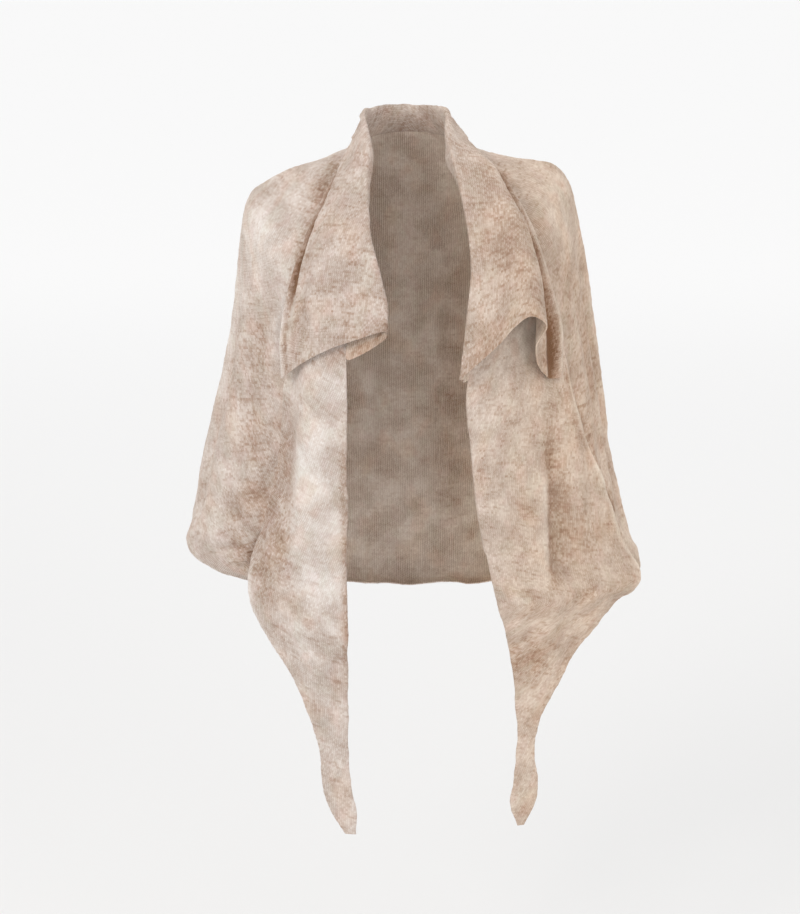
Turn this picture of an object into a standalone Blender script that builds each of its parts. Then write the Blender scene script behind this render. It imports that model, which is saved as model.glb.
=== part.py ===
# Batwing cardigan with a wide folded collar and two long front tails, hollow, hanging as it is worn.
# Metres, +Z up, the wearer faces -Y. The origin is the middle of the neck, level with the shoulder points.
# "right" and "left" are the wearer's: the right side lies at -X.
import math

import bmesh
import bpy
from mathutils import Vector

# ---- driving sizes ------------------------------------------------------------------------------------
wall = 0.002                # thickness of the knitted cloth
seamGap = 0.0003            # gap between two pieces that are sewn together
slope = 1.3                 # how late a section drops from the side to the front and the back
slitTop = 9                 # section at which the arm slit opens in the front and sleeve seam
slitOpen = 0.014            # how far the sleeve's edge stands behind the front at the slit
slitReach = 34.0            # degrees round the body over which the sleeve leans back to the slit
hemSection = 14             # last section of the sleeves and the back
collarEnd = 5               # section at which the collar's two ends are sewn to the fronts
rollRadius = 0.006          # inside radius of the collar's rolled fold
seamRun = 0.007             # the collar leaves its seam in line with the cloth for this long
lapelBow = 0.011            # how far the turned-down collar stands out between its fold and its free edge
standLean = 0.002           # how far the collar's stand leans towards the neck below its fold
waveEnd = 0.9               # where the collar's valley lies when the points of its wave are read as they are
stepsPerSection = 2         # cells between two rows of a section table
frontCells = 10             # cells across a front
sleeveCells = 14            # cells round a sleeve
backHalfCells = 9           # cells from a sleeve seam to the middle of the back
collarCells = 17            # cells from the collar's seam to its free edge
neckCells = 3               # the collar's cells from one seam of the neckline to the next
napeCells = 5               # the collar's cells from the back seam to the middle of the back
tinySection = 0.02          # a step down the sections, and one round them, for reading a direction
tinyAngle = 0.5

# ---- sections of the body -----------------------------------------------------------------------------
# One row for each section, from the neckline down. Each is half an oval: side is its outermost point,
# edge its front end, back its end at the middle of the back. frontSeam and backSeam are how far out the
# sleeve's two seams lie.
sectionColumns = ("sideX", "sideY", "sideZ", "edgeX", "edgeY", "edgeZ", "backY", "backZ", "frontSeam", "backSeam")
bodySections = {
    "right": (
        (0.074, 0.004, -0.004, 0.060, -0.040, -0.022, 0.072, 0.010, 0.070, 0.066),
        (0.108, 0.006, -0.015, 0.066, -0.078, -0.062, 0.100, -0.022, 0.092, 0.090),
        (0.150, 0.008, -0.032, 0.071, -0.110, -0.110, 0.118, -0.062, 0.113, 0.116),
        (0.188, 0.010, -0.048, 0.075, -0.130, -0.165, 0.128, -0.112, 0.135, 0.140),
        (0.216, 0.012, -0.072, 0.078, -0.142, -0.215, 0.134, -0.170, 0.152, 0.158),
        (0.226, 0.012, -0.135, 0.083, -0.148, -0.258, 0.137, -0.232, 0.163, 0.168),
        (0.237, 0.012, -0.220, 0.085, -0.150, -0.330, 0.138, -0.300, 0.171, 0.176),
        (0.252, 0.012, -0.310, 0.085, -0.150, -0.400, 0.138, -0.370, 0.178, 0.184),
        (0.272, 0.012, -0.385, 0.085, -0.149, -0.455, 0.140, -0.440, 0.187, 0.192),
        (0.290, 0.012, -0.460, 0.086, -0.148, -0.510, 0.143, -0.510, 0.203, 0.200),
        (0.304, 0.012, -0.522, 0.086, -0.148, -0.555, 0.146, -0.565, 0.213, 0.206),
    ),
    "left": (
        (0.070, 0.004, -0.002, 0.056, -0.040, -0.020, 0.072, 0.010, 0.066, 0.063),
        (0.108, 0.006, -0.013, 0.078, -0.078, -0.060, 0.100, -0.022, 0.100, 0.092),
        (0.152, 0.008, -0.017, 0.090, -0.108, -0.108, 0.118, -0.062, 0.138, 0.118),
        (0.192, 0.010, -0.027, 0.100, -0.130, -0.162, 0.128, -0.112, 0.160, 0.142),
        (0.216, 0.012, -0.056, 0.094, -0.142, -0.220, 0.134, -0.170, 0.177, 0.160),
        (0.230, 0.012, -0.115, 0.076, -0.148, -0.288, 0.137, -0.232, 0.194, 0.170),
        (0.242, 0.012, -0.195, 0.079, -0.150, -0.345, 0.138, -0.300, 0.206, 0.180),
        (0.255, 0.012, -0.290, 0.085, -0.150, -0.400, 0.138, -0.370, 0.220, 0.190),
        (0.268, 0.012, -0.375, 0.090, -0.149, -0.455, 0.140, -0.440, 0.241, 0.198),
        (0.284, 0.012, -0.452, 0.101, -0.148, -0.510, 0.143, -0.510, 0.266, 0.206),
        (0.306, 0.012, -0.525, 0.113, -0.147, -0.560, 0.146, -0.565, 0.288, 0.214),
    ),
}
# The sleeves and the back end in a hem that turns under, as a pouch at each side.
pouchSections = {
    "right": (
        (0.309, 0.010, -0.549, 0.090, -0.146, -0.558, 0.146, -0.605, 0.204, 0.208),
        (0.301, 0.010, -0.566, 0.090, -0.133, -0.581, 0.142, -0.632, 0.200, 0.204),
        (0.281, 0.010, -0.576, 0.090, -0.112, -0.596, 0.132, -0.648, 0.190, 0.194),
        (0.258, 0.010, -0.575, 0.090, -0.088, -0.594, 0.118, -0.652, 0.176, 0.180),
    ),
    "left": (
        (0.322, 0.010, -0.572, 0.118, -0.142, -0.580, 0.146, -0.605, 0.304, 0.216),
        (0.325, 0.010, -0.590, 0.118, -0.128, -0.598, 0.142, -0.632, 0.306, 0.214),
        (0.310, 0.010, -0.600, 0.118, -0.106, -0.608, 0.132, -0.648, 0.292, 0.204),
        (0.286, 0.010, -0.598, 0.118, -0.084, -0.606, 0.118, -0.652, 0.270, 0.190),
    ),
}
# Below the slit each front narrows to a tail. Its sections are the front stretch of such an oval.
tailSections = {
    "right": (
        (0.306, 0.010, -0.550, 0.086, -0.147, -0.592, 0.146, -0.605, 0.217, 0.206),
        (0.300, 0.004, -0.592, 0.086, -0.146, -0.628, 0.146, -0.632, 0.210, 0.206),
        (0.290, -0.004, -0.640, 0.086, -0.145, -0.668, 0.146, -0.648, 0.184, 0.206),
        (0.280, -0.012, -0.690, 0.086, -0.144, -0.712, 0.146, -0.652, 0.156, 0.206),
        (0.270, -0.020, -0.745, 0.086, -0.143, -0.760, 0.146, -0.652, 0.134, 0.206),
        (0.260, -0.028, -0.800, 0.085, -0.142, -0.808, 0.146, -0.652, 0.120, 0.206),
        (0.250, -0.036, -0.850, 0.083, -0.141, -0.852, 0.146, -0.652, 0.117, 0.206),
        (0.240, -0.040, -0.893, 0.076, -0.140, -0.894, 0.146, -0.652, 0.107, 0.206),
        (0.230, -0.040, -0.930, 0.074, -0.139, -0.930, 0.146, -0.652, 0.087, 0.206),
    ),
    "left": (
        (0.328, 0.010, -0.592, 0.122, -0.146, -0.600, 0.146, -0.605, 0.318, 0.206),
        (0.316, 0.004, -0.612, 0.131, -0.145, -0.632, 0.146, -0.632, 0.283, 0.206),
        (0.310, -0.004, -0.650, 0.139, -0.144, -0.668, 0.146, -0.648, 0.236, 0.206),
        (0.300, -0.012, -0.700, 0.145, -0.143, -0.708, 0.146, -0.652, 0.206, 0.206),
        (0.290, -0.020, -0.752, 0.149, -0.142, -0.756, 0.146, -0.652, 0.178, 0.206),
        (0.280, -0.028, -0.804, 0.150, -0.141, -0.806, 0.146, -0.652, 0.169, 0.206),
        (0.270, -0.036, -0.850, 0.146, -0.140, -0.850, 0.146, -0.652, 0.174, 0.206),
        (0.260, -0.040, -0.886, 0.143, -0.139, -0.886, 0.146, -0.652, 0.172, 0.206),
        (0.250, -0.040, -0.918, 0.151, -0.138, -0.918, 0.146, -0.652, 0.158, 0.206),
    ),
}

# ---- largest folds ------------------------------------------------------------------------------------
# One row for each fold: degrees round the body at its first and last section (-90 front, 0 side,
# 90 back), those sections, half its width in degrees, and how far it stands out.
foldColumns = ("fromAngle", "toAngle", "fromSection", "toSection", "halfWidth", "height")
folds = {
    "right": (
        (-60, -64, 5.0, 17.0, 9, 0.008),
        (-46, -46, 3.5, 11.0, 8, -0.013),
        (-22, -26, 4.5, 11.5, 13, 0.008),
        (12, 14, 5.0, 11.5, 10, -0.008),
        (34, 36, 3.5, 12.0, 12, 0.009),
        (58, 54, 5.0, 12.5, 10, -0.010),
        (76, 72, 6.0, 12.5, 9, 0.006),
    ),
    "left": (
        (-56, -53, 6.5, 14.0, 6, 0.009),
        (-45, -44, 6.5, 13.0, 6, -0.009),
        (-30, -20, 2.5, 10.5, 6, 0.006),
        (-8, -6, 4.0, 11.0, 9, -0.009),
        (16, 14, 5.0, 11.5, 11, 0.008),
        (38, 40, 4.0, 12.0, 10, -0.010),
        (60, 62, 4.5, 12.5, 10, 0.009),
        (80, 80, 6.0, 12.5, 8, -0.005),
    ),
}

# ---- collar -------------------------------------------------------------------------------------------
# One row for each station: 5 to 0 are the front's sections, and -1 to -4 lie round the neckline at the
# front seam, the side, the back seam and the middle of the back. roll is the top of the rolled fold,
# free the free edge, and wave how strongly the turned-down part waves. A long valley runs inside the free
# edge: valleyInset is how far inside, and valleyDepth how deep it is.
collarColumns = ("station", "rollX", "rollY", "rollZ", "freeX", "freeY", "freeZ", "wave",
                 "valleyInset", "valleyDepth")
collarStations = {
    "right": (
        (5, 0.029, -0.170, -0.221, 0.166, -0.128, -0.288, 0.0, 0.012, 0.0),
        (4, 0.029, -0.168, -0.186, 0.169, -0.120, -0.238, 0.05, 0.012, 0.0015),
        (3, 0.040, -0.160, -0.144, 0.161, -0.114, -0.189, 0.05, 0.010, 0.004),
        (2, 0.051, -0.142, -0.098, 0.144, -0.102, -0.132, 0.05, 0.011, 0.005),
        (1, 0.056, -0.108, -0.045, 0.118, -0.073, -0.070, 0.03, 0.016, 0.006),
        (0, 0.057, -0.066, 0.006, 0.096, -0.039, -0.031, 0.0, 0.016, 0.007),
        (-1, 0.058, -0.028, 0.035, 0.083, -0.014, -0.006, 0.0, 0.012, 0.004),
        (-2, 0.059, 0.006, 0.045, 0.075, 0.012, 0.004, 0.0, 0.009, 0.001),
        (-3, 0.048, 0.036, 0.045, 0.070, 0.062, 0.001, 0.0, 0.008, 0.0),
        (-4, 0.0, 0.060, 0.048, 0.0, 0.116, -0.030, 0.0, 0.008, 0.0),
    ),
    "left": (
        (5, 0.066, -0.164, -0.284, 0.201, -0.099, -0.295, 1.0, 0.020, 0.005),
        (4, 0.072, -0.168, -0.216, 0.200, -0.091, -0.230, 0.72, 0.023, 0.008),
        (3, 0.079, -0.160, -0.152, 0.185, -0.094, -0.170, 0.48, 0.023, 0.007),
        (2, 0.077, -0.144, -0.096, 0.170, -0.095, -0.119, 0.32, 0.021, 0.007),
        (1, 0.066, -0.110, -0.042, 0.148, -0.070, -0.072, 0.2, 0.022, 0.007),
        (0, 0.053, -0.066, 0.006, 0.118, -0.037, -0.032, 0.1, 0.016, 0.006),
        (-1, 0.049, -0.028, 0.036, 0.092, -0.015, -0.008, 0.0, 0.014, 0.004),
        (-2, 0.047, 0.006, 0.046, 0.079, 0.012, 0.004, 0.0, 0.009, 0.001),
        (-3, 0.040, 0.036, 0.046, 0.072, 0.062, 0.001, 0.0, 0.008, 0.0),
        (-4, 0.0, 0.060, 0.048, 0.0, 0.116, -0.030, 0.0, 0.008, 0.0),
    ),
}
# The full wave: how far along the turned-down part each point lies, and how far the wave moves it.
waveColumns = ("along", "outward", "forward", "up")
wavePoints = (
    (0.28, 0.011, 0.024, 0.046),
    (0.42, 0.016, 0.035, 0.074),
    (0.53, 0.023, 0.039, 0.088),
    (0.63, 0.030, 0.032, 0.073),
    (0.76, 0.002, 0.024, 0.046),
    (0.84, -0.006, 0.013, 0.019),
)

# ---- colour and finish --------------------------------------------------------------------------------
knitColour = (0.60, 0.49, 0.41, 1.0)
knitRoughness = 0.92
sideSigns = {"right": -1.0, "left": 1.0}


def column(rows, columns, name):
    at = columns.index(name)
    return [row[at] for row in rows]


def smoothValue(values, t):
    """The smooth curve through evenly spaced values, read at t."""
    last = len(values) - 1
    cell = min(max(int(math.floor(t)), 0), last - 1)
    part = t - cell
    a = values[cell - 1] if cell > 0 else 2 * values[0] - values[1]
    b = values[cell]
    c = values[cell + 1]
    d = values[cell + 2] if cell + 2 <= last else 2 * values[last] - values[last - 1]
    return b + 0.5 * part * (c - a + part * (2 * a - 5 * b + 4 * c - d + part * (3 * (b - c) + d - a)))


def softBump(distance, halfWidth):
    if abs(distance) >= halfWidth:
        return 0.0
    return 0.5 + 0.5 * math.cos(math.pi * distance / halfWidth)


def fadeBetween(t, start, end, fade=2.4):
    rise = min(max((t - start) / fade, 0.0), 1.0)
    fall = min(max((end - t) / fade, 0.0), 1.0)
    part = min(rise, fall)
    return part * part * (3 - 2 * part)


class Side:
    """One half of the garment: its table of sections gives a point for each section and angle."""

    def __init__(self, name, lowerRows):
        self.name = name
        self.sign = sideSigns[name]
        rows = bodySections[name] + lowerRows
        self.values = {c: column(rows, sectionColumns, c) for c in sectionColumns}

    def size(self, name, t):
        return smoothValue(self.values[name], t)

    def angleAt(self, across, t):
        share = min(max(across / self.size("sideX", t), 0.0), 1.0)
        return math.degrees(math.acos(share))

    def edgeAngle(self, t):
        return -self.angleAt(self.size("edgeX", t), t)

    def frontSeamAngle(self, t):
        return -self.angleAt(self.size("frontSeam", t), t)

    def backSeamAngle(self, t):
        return self.angleAt(self.size("backSeam", t), t)

    def plainPoint(self, t, angle):
        turn = math.radians(angle)
        sideX, sideY, sideZ = (self.size(n, t) for n in ("sideX", "sideY", "sideZ"))
        along = math.cos(turn) * sideX
        away = abs(math.sin(turn))
        if angle < 0:
            full = math.sqrt(max(1.0 - (self.size("edgeX", t) / sideX) ** 2, 1e-6))
            depth = (self.size("edgeY", t) - sideY) / full
            drop = (self.size("edgeZ", t) - sideZ) * (away / full) ** slope
        else:
            depth = self.size("backY", t) - sideY
            drop = (self.size("backZ", t) - sideZ) * away ** slope
        return Vector((self.sign * along, sideY + depth * away, sideZ + drop))

    def slope(self, pointAt, t, angle):
        down = pointAt(t + tinySection, angle) - pointAt(max(t - tinySection, 0.0), angle)
        roundWay = pointAt(t, angle + tinyAngle) - pointAt(t, angle - tinyAngle)
        outward = down.cross(roundWay) * self.sign
        return outward.normalized(), roundWay, down.normalized()

    def point(self, t, angle):
        """The middle of the cloth, with the folds."""
        plain = self.plainPoint(t, angle)
        height = 0.0
        for row in folds[self.name]:
            fold = dict(zip(foldColumns, row))
            part = (t - fold["fromSection"]) / (fold["toSection"] - fold["fromSection"])
            part = min(max(part, 0.0), 1.0)
            middle = fold["fromAngle"] + (fold["toAngle"] - fold["fromAngle"]) * part
            fade = fadeBetween(t, fold["fromSection"], fold["toSection"])
            height += fold["height"] * fade * softBump(angle - middle, fold["halfWidth"])
        if height:
            plain += self.slope(self.plainPoint, t, angle)[0] * height
        return plain

    def outward(self, t, angle):
        return self.slope(self.point, t, angle)[0]

    def moveAlong(self, t, angle, distance):
        """The angle that lies a distance further round the section."""
        perDegree = self.slope(self.point, t, angle)[1].length / (2 * tinyAngle)
        return angle + distance / perDegree


fronts = {name: Side(name, tailSections[name]) for name in sideSigns}
hulls = {name: Side(name, pouchSections[name]) for name in sideSigns}


def slitLean(side, t, angle):
    """The move that leans the sleeve's front edge back where the arm slit is open."""
    if t <= slitTop:
        return Vector((0.0, 0.0, 0.0))
    opened = min(t - slitTop, 1.0)
    near = min(max(1.0 - (angle - side.frontSeamAngle(t)) / slitReach, 0.0), 1.0)
    return side.outward(slitTop, angle) * (-slitOpen * opened * opened * (3 - 2 * opened) * near * near)


def buildMaterial(name, colour, roughness):
    material = bpy.data.materials.new(name)
    material.use_nodes = True
    shader = material.node_tree.nodes["Principled BSDF"]
    shader.inputs["Base Color"].default_value = colour
    shader.inputs["Roughness"].default_value = roughness
    shader.inputs["Metallic"].default_value = 0.0
    material.diffuse_color = colour
    return material


def addCloth(name, rows, normals, material):
    """A closed wall round a grid of middle points, half the thickness out on each side."""
    height, width = len(rows), len(rows[0])
    mesh = bmesh.new()
    layers = []
    for sense in (0.5, -0.5):
        layers.append([
            [mesh.verts.new(p + n * (wall * sense)) for p, n in zip(row, rowNormals)]
            for row, rowNormals in zip(rows, normals)
        ])
    outer, inner = layers
    for i in range(height - 1):
        for j in range(width - 1):
            mesh.faces.new((outer[i][j], outer[i + 1][j], outer[i + 1][j + 1], outer[i][j + 1]))
            mesh.faces.new((inner[i][j], inner[i][j + 1], inner[i + 1][j + 1], inner[i + 1][j]))
    rim = [(0, j) for j in range(width)]
    rim += [(i, width - 1) for i in range(1, height)]
    rim += [(height - 1, j) for j in range(width - 2, -1, -1)]
    rim += [(i, 0) for i in range(height - 2, 0, -1)]
    for (i, j), (k, m) in zip(rim, rim[1:] + rim[:1]):
        mesh.faces.new((outer[i][j], outer[k][m], inner[k][m], inner[i][j]))
    bmesh.ops.recalc_face_normals(mesh, faces=mesh.faces)
    data = bpy.data.meshes.new(name)
    mesh.to_mesh(data)
    mesh.free()
    if signedVolume(data) < 0:
        data.flip_normals()
    data.materials.append(material)
    data.shade_smooth()
    data.set_sharp_from_angle(angle=math.radians(50))
    piece = bpy.data.objects.new(name, data)
    bpy.context.collection.objects.link(piece)
    return piece


def signedVolume(data):
    total = 0.0
    for face in data.polygons:
        corners = [data.vertices[i].co for i in face.vertices]
        for b, c in zip(corners[1:], corners[2:]):
            total += corners[0].dot(b.cross(c))
    return total / 6.0


def sectionSteps(first, last):
    count = round((last - first) * stepsPerSection)
    return [first + (last - first) * i / count for i in range(count + 1)]


def spread(first, last, cells):
    return [first + (last - first) * i / cells for i in range(cells + 1)]


def buildFront(name, material):
    side = fronts[name]
    lastSection = len(side.values["sideX"]) - 1
    rows, normals = [], []
    for t in sectionSteps(0, lastSection):
        outerEnd = side.moveAlong(t, side.frontSeamAngle(t), -seamGap / 2)
        angles = spread(side.edgeAngle(t), outerEnd, frontCells)
        rows.append([side.point(t, angle) for angle in angles])
        normals.append([side.outward(t, angle) for angle in angles])
    addCloth("front_" + name, rows, normals, material)


def buildSleeve(name, material):
    side = hulls[name]
    rows, normals = [], []
    for t in sectionSteps(0, hemSection):
        first = side.moveAlong(t, side.frontSeamAngle(t), seamGap / 2)
        last = side.moveAlong(t, side.backSeamAngle(t), -seamGap / 2)
        angles = spread(first, last, sleeveCells)
        rows.append([side.point(t, angle) + slitLean(side, t, angle) for angle in angles])
        normals.append([side.outward(t, angle) for angle in angles])
    addCloth("sleeve_" + name, rows, normals, material)


def buildBack(material):
    rows, normals = [], []
    for t in sectionSteps(0, hemSection):
        points, outwards = [], []
        for name, order in (("right", 1), ("left", -1)):
            side = hulls[name]
            first = side.moveAlong(t, side.backSeamAngle(t), seamGap / 2)
            angles = spread(first, 90.0, backHalfCells)
            if name == "left":
                angles = angles[-2::-1]
            points += [side.point(t, angle) for angle in angles]
            outwards += [side.outward(t, angle) for angle in angles]
        rows.append(points)
        normals.append(outwards)
    addCloth("back", rows, normals, material)


def collarValue(name, columnName, station):
    """A value of the collar's table, read between its stations, and on past the middle of the back."""
    values = column(collarStations[name], collarColumns, columnName)
    first = collarStations[name][0][0]
    mirrored = [values[-2] * (-1 if columnName.endswith("X") else 1)]
    return smoothValue(values + mirrored, first - station)


def collarColumn(name, station, t, angle):
    """The points of the collar from its seam to its free edge, at one station of the table."""
    side = hulls[name]
    sign = side.sign
    seam = side.point(t, angle)
    outward = side.outward(t, angle)
    roundWay, downWay = side.slope(side.point, t, angle)[1:]
    if station > 0:
        leave = -roundWay.normalized()
        leave = (leave - outward * leave.dot(outward)).normalized()
    elif station == 0:
        leave = (-roundWay.normalized() - downWay).normalized()
    else:
        leave = -downWay
    roll = Vector((sign * collarValue(name, "rollX", station), collarValue(name, "rollY", station),
                   collarValue(name, "rollZ", station)))
    free = Vector((sign * collarValue(name, "freeX", station), collarValue(name, "freeY", station),
                   collarValue(name, "freeZ", station)))
    wave = collarValue(name, "wave", station)
    start = seam + leave * seamGap
    run = start + leave * seamRun
    turnDown = []
    bowHere = lapelBow * min(max((station + 1) / 3, 0.0), 1.0)
    lowest = 1.0 - collarValue(name, "valleyInset", station) / (free - roll).length
    for row in wavePoints:
        point = dict(zip(waveColumns, row))
        along = point["along"] * lowest / waveEnd
        shift = Vector((sign * point["outward"], -point["forward"], point["up"])) * wave
        turnDown.append((roll.lerp(free, along), shift, bowHere * 4 * along * (1 - along)))
    bow = bowHere * 4 * lowest * (1 - lowest) - collarValue(name, "valleyDepth", station)
    turnDown.append((roll.lerp(free, lowest), Vector((0.0, 0.0, 0.0)), bow))
    apexWay = (roll - (run + turnDown[0][0] + turnDown[0][1]) / 2).normalized()
    across = turnDown[0][0] + turnDown[0][1] - run
    across = (across - apexWay * across.dot(apexWay)).normalized()
    inside = roll - (apexWay + across) * rollRadius
    outside = roll - (apexWay - across) * rollRadius
    points = [start, run, run.lerp(inside, 0.5) - across * standLean, inside, roll, outside]
    points += [base + shift + across * bow for base, shift, bow in turnDown]
    points.append(free)
    return smoothRun(points, collarCells), outward


def smoothRun(points, cells):
    """Evenly spaced points on the smooth curve through the given points, with the first two kept."""
    fine = 12
    last = len(points) - 1
    run = []
    for axis in range(3):
        values = [p[axis] for p in points]
        run.append([smoothValue(values, i / fine) for i in range(last * fine + 1)])
    dense = [Vector(p) for p in zip(*run)]
    kept = [dense[0], dense[fine]]
    dense = dense[fine:]
    lengths = [0.0]
    for a, b in zip(dense, dense[1:]):
        lengths.append(lengths[-1] + (b - a).length)
    at = 0
    for i in range(1, cells):
        want = lengths[-1] * i / (cells - 1)
        while at < len(dense) - 2 and lengths[at + 1] < want:
            at += 1
        share = (want - lengths[at]) / (lengths[at + 1] - lengths[at])
        kept.append(dense[at].lerp(dense[at + 1], share))
    return kept


def collarPlaces(name):
    """Station, section and angle of each of the collar's columns, from its end to the middle of the back.

    They fall on the corners of the pieces that the collar is sewn to, so that its seam follows them.
    """
    side = hulls[name]
    places = [(t, t, side.edgeAngle(t)) for t in reversed(sectionSteps(0, collarEnd))]
    stretches = (
        (0, -1, side.edgeAngle(0), side.frontSeamAngle(0), neckCells),
        (-1, -2, side.frontSeamAngle(0), 0.0, neckCells),
        (-2, -3, 0.0, side.backSeamAngle(0), neckCells),
        (-3, -4, side.backSeamAngle(0), 90.0, napeCells),
    )
    for fromStation, toStation, fromAngle, toAngle, cells in stretches:
        for i in range(1, cells + 1):
            part = i / cells
            places.append((fromStation + (toStation - fromStation) * part, 0.0,
                           fromAngle + (toAngle - fromAngle) * part))
    return places


def gridNormals(columns, firstNormals):
    """Normals of the collar's grid. At the seam they are those of the cloth that it is sewn to."""
    normals = []
    for i, points in enumerate(columns):
        before, after = columns[max(i - 1, 0)], columns[min(i + 1, len(columns) - 1)]
        line = []
        for j in range(len(points)):
            across = points[min(j + 1, len(points) - 1)] - points[max(j - 1, 0)]
            line.append((after[j] - before[j]).cross(across).normalized())
        sign = 1.0 if line[0].dot(firstNormals[i]) > 0 else -1.0
        line = [n * sign for n in line]
        line[0] = firstNormals[i]
        normals.append(line)
    return normals


def buildCollar(material):
    columns, seamNormals = [], []
    for name in ("right", "left"):
        places = collarPlaces(name)
        if name == "left":
            places = places[-2::-1]
        for station, t, angle in places:
            points, outward = collarColumn(name, station, t, angle)
            columns.append(points)
            seamNormals.append(outward)
    addCloth("collar", columns, gridNormals(columns, seamNormals), material)


def clearScene():
    for item in list(bpy.data.objects):
        bpy.data.objects.remove(item, do_unlink=True)


def buildCardigan():
    clearScene()
    knit = buildMaterial("brushed_knit", knitColour, knitRoughness)
    buildBack(knit)
    for name in ("right", "left"):
        buildFront(name, knit)
        buildSleeve(name, knit)
    buildCollar(knit)


buildCardigan()
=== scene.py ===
# Batwing cardigan in brushed knit, hanging as it is worn, in a pale studio.
# Metres, +Z up, the wearer faces -Y. "right" and "left" are the wearer's: the right side lies at -X.
import math

import bpy
import numpy as np
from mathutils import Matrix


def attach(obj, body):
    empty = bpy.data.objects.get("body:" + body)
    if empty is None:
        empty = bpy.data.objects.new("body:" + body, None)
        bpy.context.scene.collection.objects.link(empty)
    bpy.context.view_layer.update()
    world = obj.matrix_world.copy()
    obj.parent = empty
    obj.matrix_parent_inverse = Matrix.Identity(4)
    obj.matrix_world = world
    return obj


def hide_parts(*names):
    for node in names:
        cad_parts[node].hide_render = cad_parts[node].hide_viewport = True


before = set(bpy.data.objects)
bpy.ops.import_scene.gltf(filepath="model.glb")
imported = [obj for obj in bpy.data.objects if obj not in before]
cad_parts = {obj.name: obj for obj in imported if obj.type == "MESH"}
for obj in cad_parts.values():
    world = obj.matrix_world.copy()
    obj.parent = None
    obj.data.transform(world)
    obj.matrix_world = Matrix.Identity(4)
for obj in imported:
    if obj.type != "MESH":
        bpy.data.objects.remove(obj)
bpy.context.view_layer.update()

# how fine the cloth's grid is, and how the cloth is made
cloth = {
    "wall": 0.0016,          # thickness of the knit
    "seamGap": 0.00002,      # gap between two pieces that are sewn together
    "slope": 1.3,            # how late a section drops from the side to the front and the back
    "rowsPerSection": 16,
    "frontCells": 76,
    "sleeveCells": 144,
    "backHalfCells": 44,
    "collarCells": 94,
    "neckCells": 13,
    "napeCells": 20,
}
slit = {"top": 9, "gap": 0.014, "reach": 34.0}      # section, metres and degrees
hemSection = 14
collarEnd = 5
sideSigns = {"right": -1.0, "left": 1.0}

# Half sections from the neckline down. side is the outermost point, edge the front end, back the middle
# of the back. frontSeam and backSeam are how far out the sleeve's two seams lie.
sectionColumns = ("sideX", "sideY", "sideZ", "edgeX", "edgeY", "edgeZ", "backY", "backZ", "frontSeam",
                  "backSeam")
bodySections = {
    "right": (
        (0.074, 0.004, -0.004, 0.060, -0.040, -0.022, 0.072, 0.010, 0.070, 0.066),
        (0.108, 0.006, -0.015, 0.066, -0.078, -0.062, 0.100, -0.022, 0.092, 0.090),
        (0.150, 0.008, -0.032, 0.071, -0.110, -0.110, 0.118, -0.062, 0.113, 0.116),
        (0.188, 0.010, -0.048, 0.075, -0.130, -0.165, 0.128, -0.112, 0.135, 0.140),
        (0.216, 0.012, -0.072, 0.078, -0.142, -0.215, 0.134, -0.170, 0.152, 0.158),
        (0.226, 0.012, -0.135, 0.083, -0.148, -0.258, 0.137, -0.232, 0.163, 0.168),
        (0.237, 0.012, -0.220, 0.085, -0.150, -0.330, 0.138, -0.300, 0.171, 0.176),
        (0.252, 0.012, -0.310, 0.085, -0.150, -0.400, 0.138, -0.370, 0.178, 0.184),
        (0.272, 0.012, -0.385, 0.085, -0.149, -0.455, 0.140, -0.440, 0.187, 0.192),
        (0.290, 0.012, -0.460, 0.086, -0.148, -0.510, 0.143, -0.510, 0.203, 0.200),
        (0.304, 0.012, -0.522, 0.086, -0.148, -0.555, 0.146, -0.565, 0.213, 0.206),
    ),
    "left": (
        (0.070, 0.004, -0.002, 0.056, -0.040, -0.020, 0.072, 0.010, 0.066, 0.063),
        (0.108, 0.006, -0.013, 0.078, -0.078, -0.060, 0.100, -0.022, 0.100, 0.092),
        (0.152, 0.008, -0.017, 0.090, -0.108, -0.108, 0.118, -0.062, 0.138, 0.118),
        (0.192, 0.010, -0.027, 0.100, -0.130, -0.162, 0.128, -0.112, 0.160, 0.142),
        (0.216, 0.012, -0.056, 0.094, -0.142, -0.220, 0.134, -0.170, 0.177, 0.160),
        (0.230, 0.012, -0.115, 0.076, -0.148, -0.288, 0.137, -0.232, 0.194, 0.170),
        (0.242, 0.012, -0.195, 0.079, -0.150, -0.345, 0.138, -0.300, 0.206, 0.180),
        (0.255, 0.012, -0.290, 0.085, -0.150, -0.400, 0.138, -0.370, 0.220, 0.190),
        (0.268, 0.012, -0.375, 0.090, -0.149, -0.455, 0.140, -0.440, 0.241, 0.198),
        (0.284, 0.012, -0.452, 0.101, -0.148, -0.510, 0.143, -0.510, 0.266, 0.206),
        (0.306, 0.012, -0.525, 0.113, -0.147, -0.560, 0.146, -0.565, 0.288, 0.214),
    ),
}
# The sleeves and the back end in a hem that turns under, as a pouch at each side.
pouchSections = {
    "right": (
        (0.309, 0.010, -0.549, 0.090, -0.146, -0.558, 0.146, -0.605, 0.204, 0.208),
        (0.301, 0.010, -0.566, 0.090, -0.133, -0.581, 0.142, -0.632, 0.200, 0.204),
        (0.281, 0.010, -0.576, 0.090, -0.112, -0.596, 0.132, -0.648, 0.190, 0.194),
        (0.258, 0.010, -0.575, 0.090, -0.088, -0.594, 0.118, -0.652, 0.176, 0.180),
    ),
    "left": (
        (0.322, 0.010, -0.572, 0.118, -0.142, -0.580, 0.146, -0.605, 0.304, 0.216),
        (0.325, 0.010, -0.590, 0.118, -0.128, -0.598, 0.142, -0.632, 0.306, 0.214),
        (0.310, 0.010, -0.600, 0.118, -0.106, -0.608, 0.132, -0.648, 0.292, 0.204),
        (0.286, 0.010, -0.598, 0.118, -0.084, -0.606, 0.118, -0.652, 0.270, 0.190),
    ),
}
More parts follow.
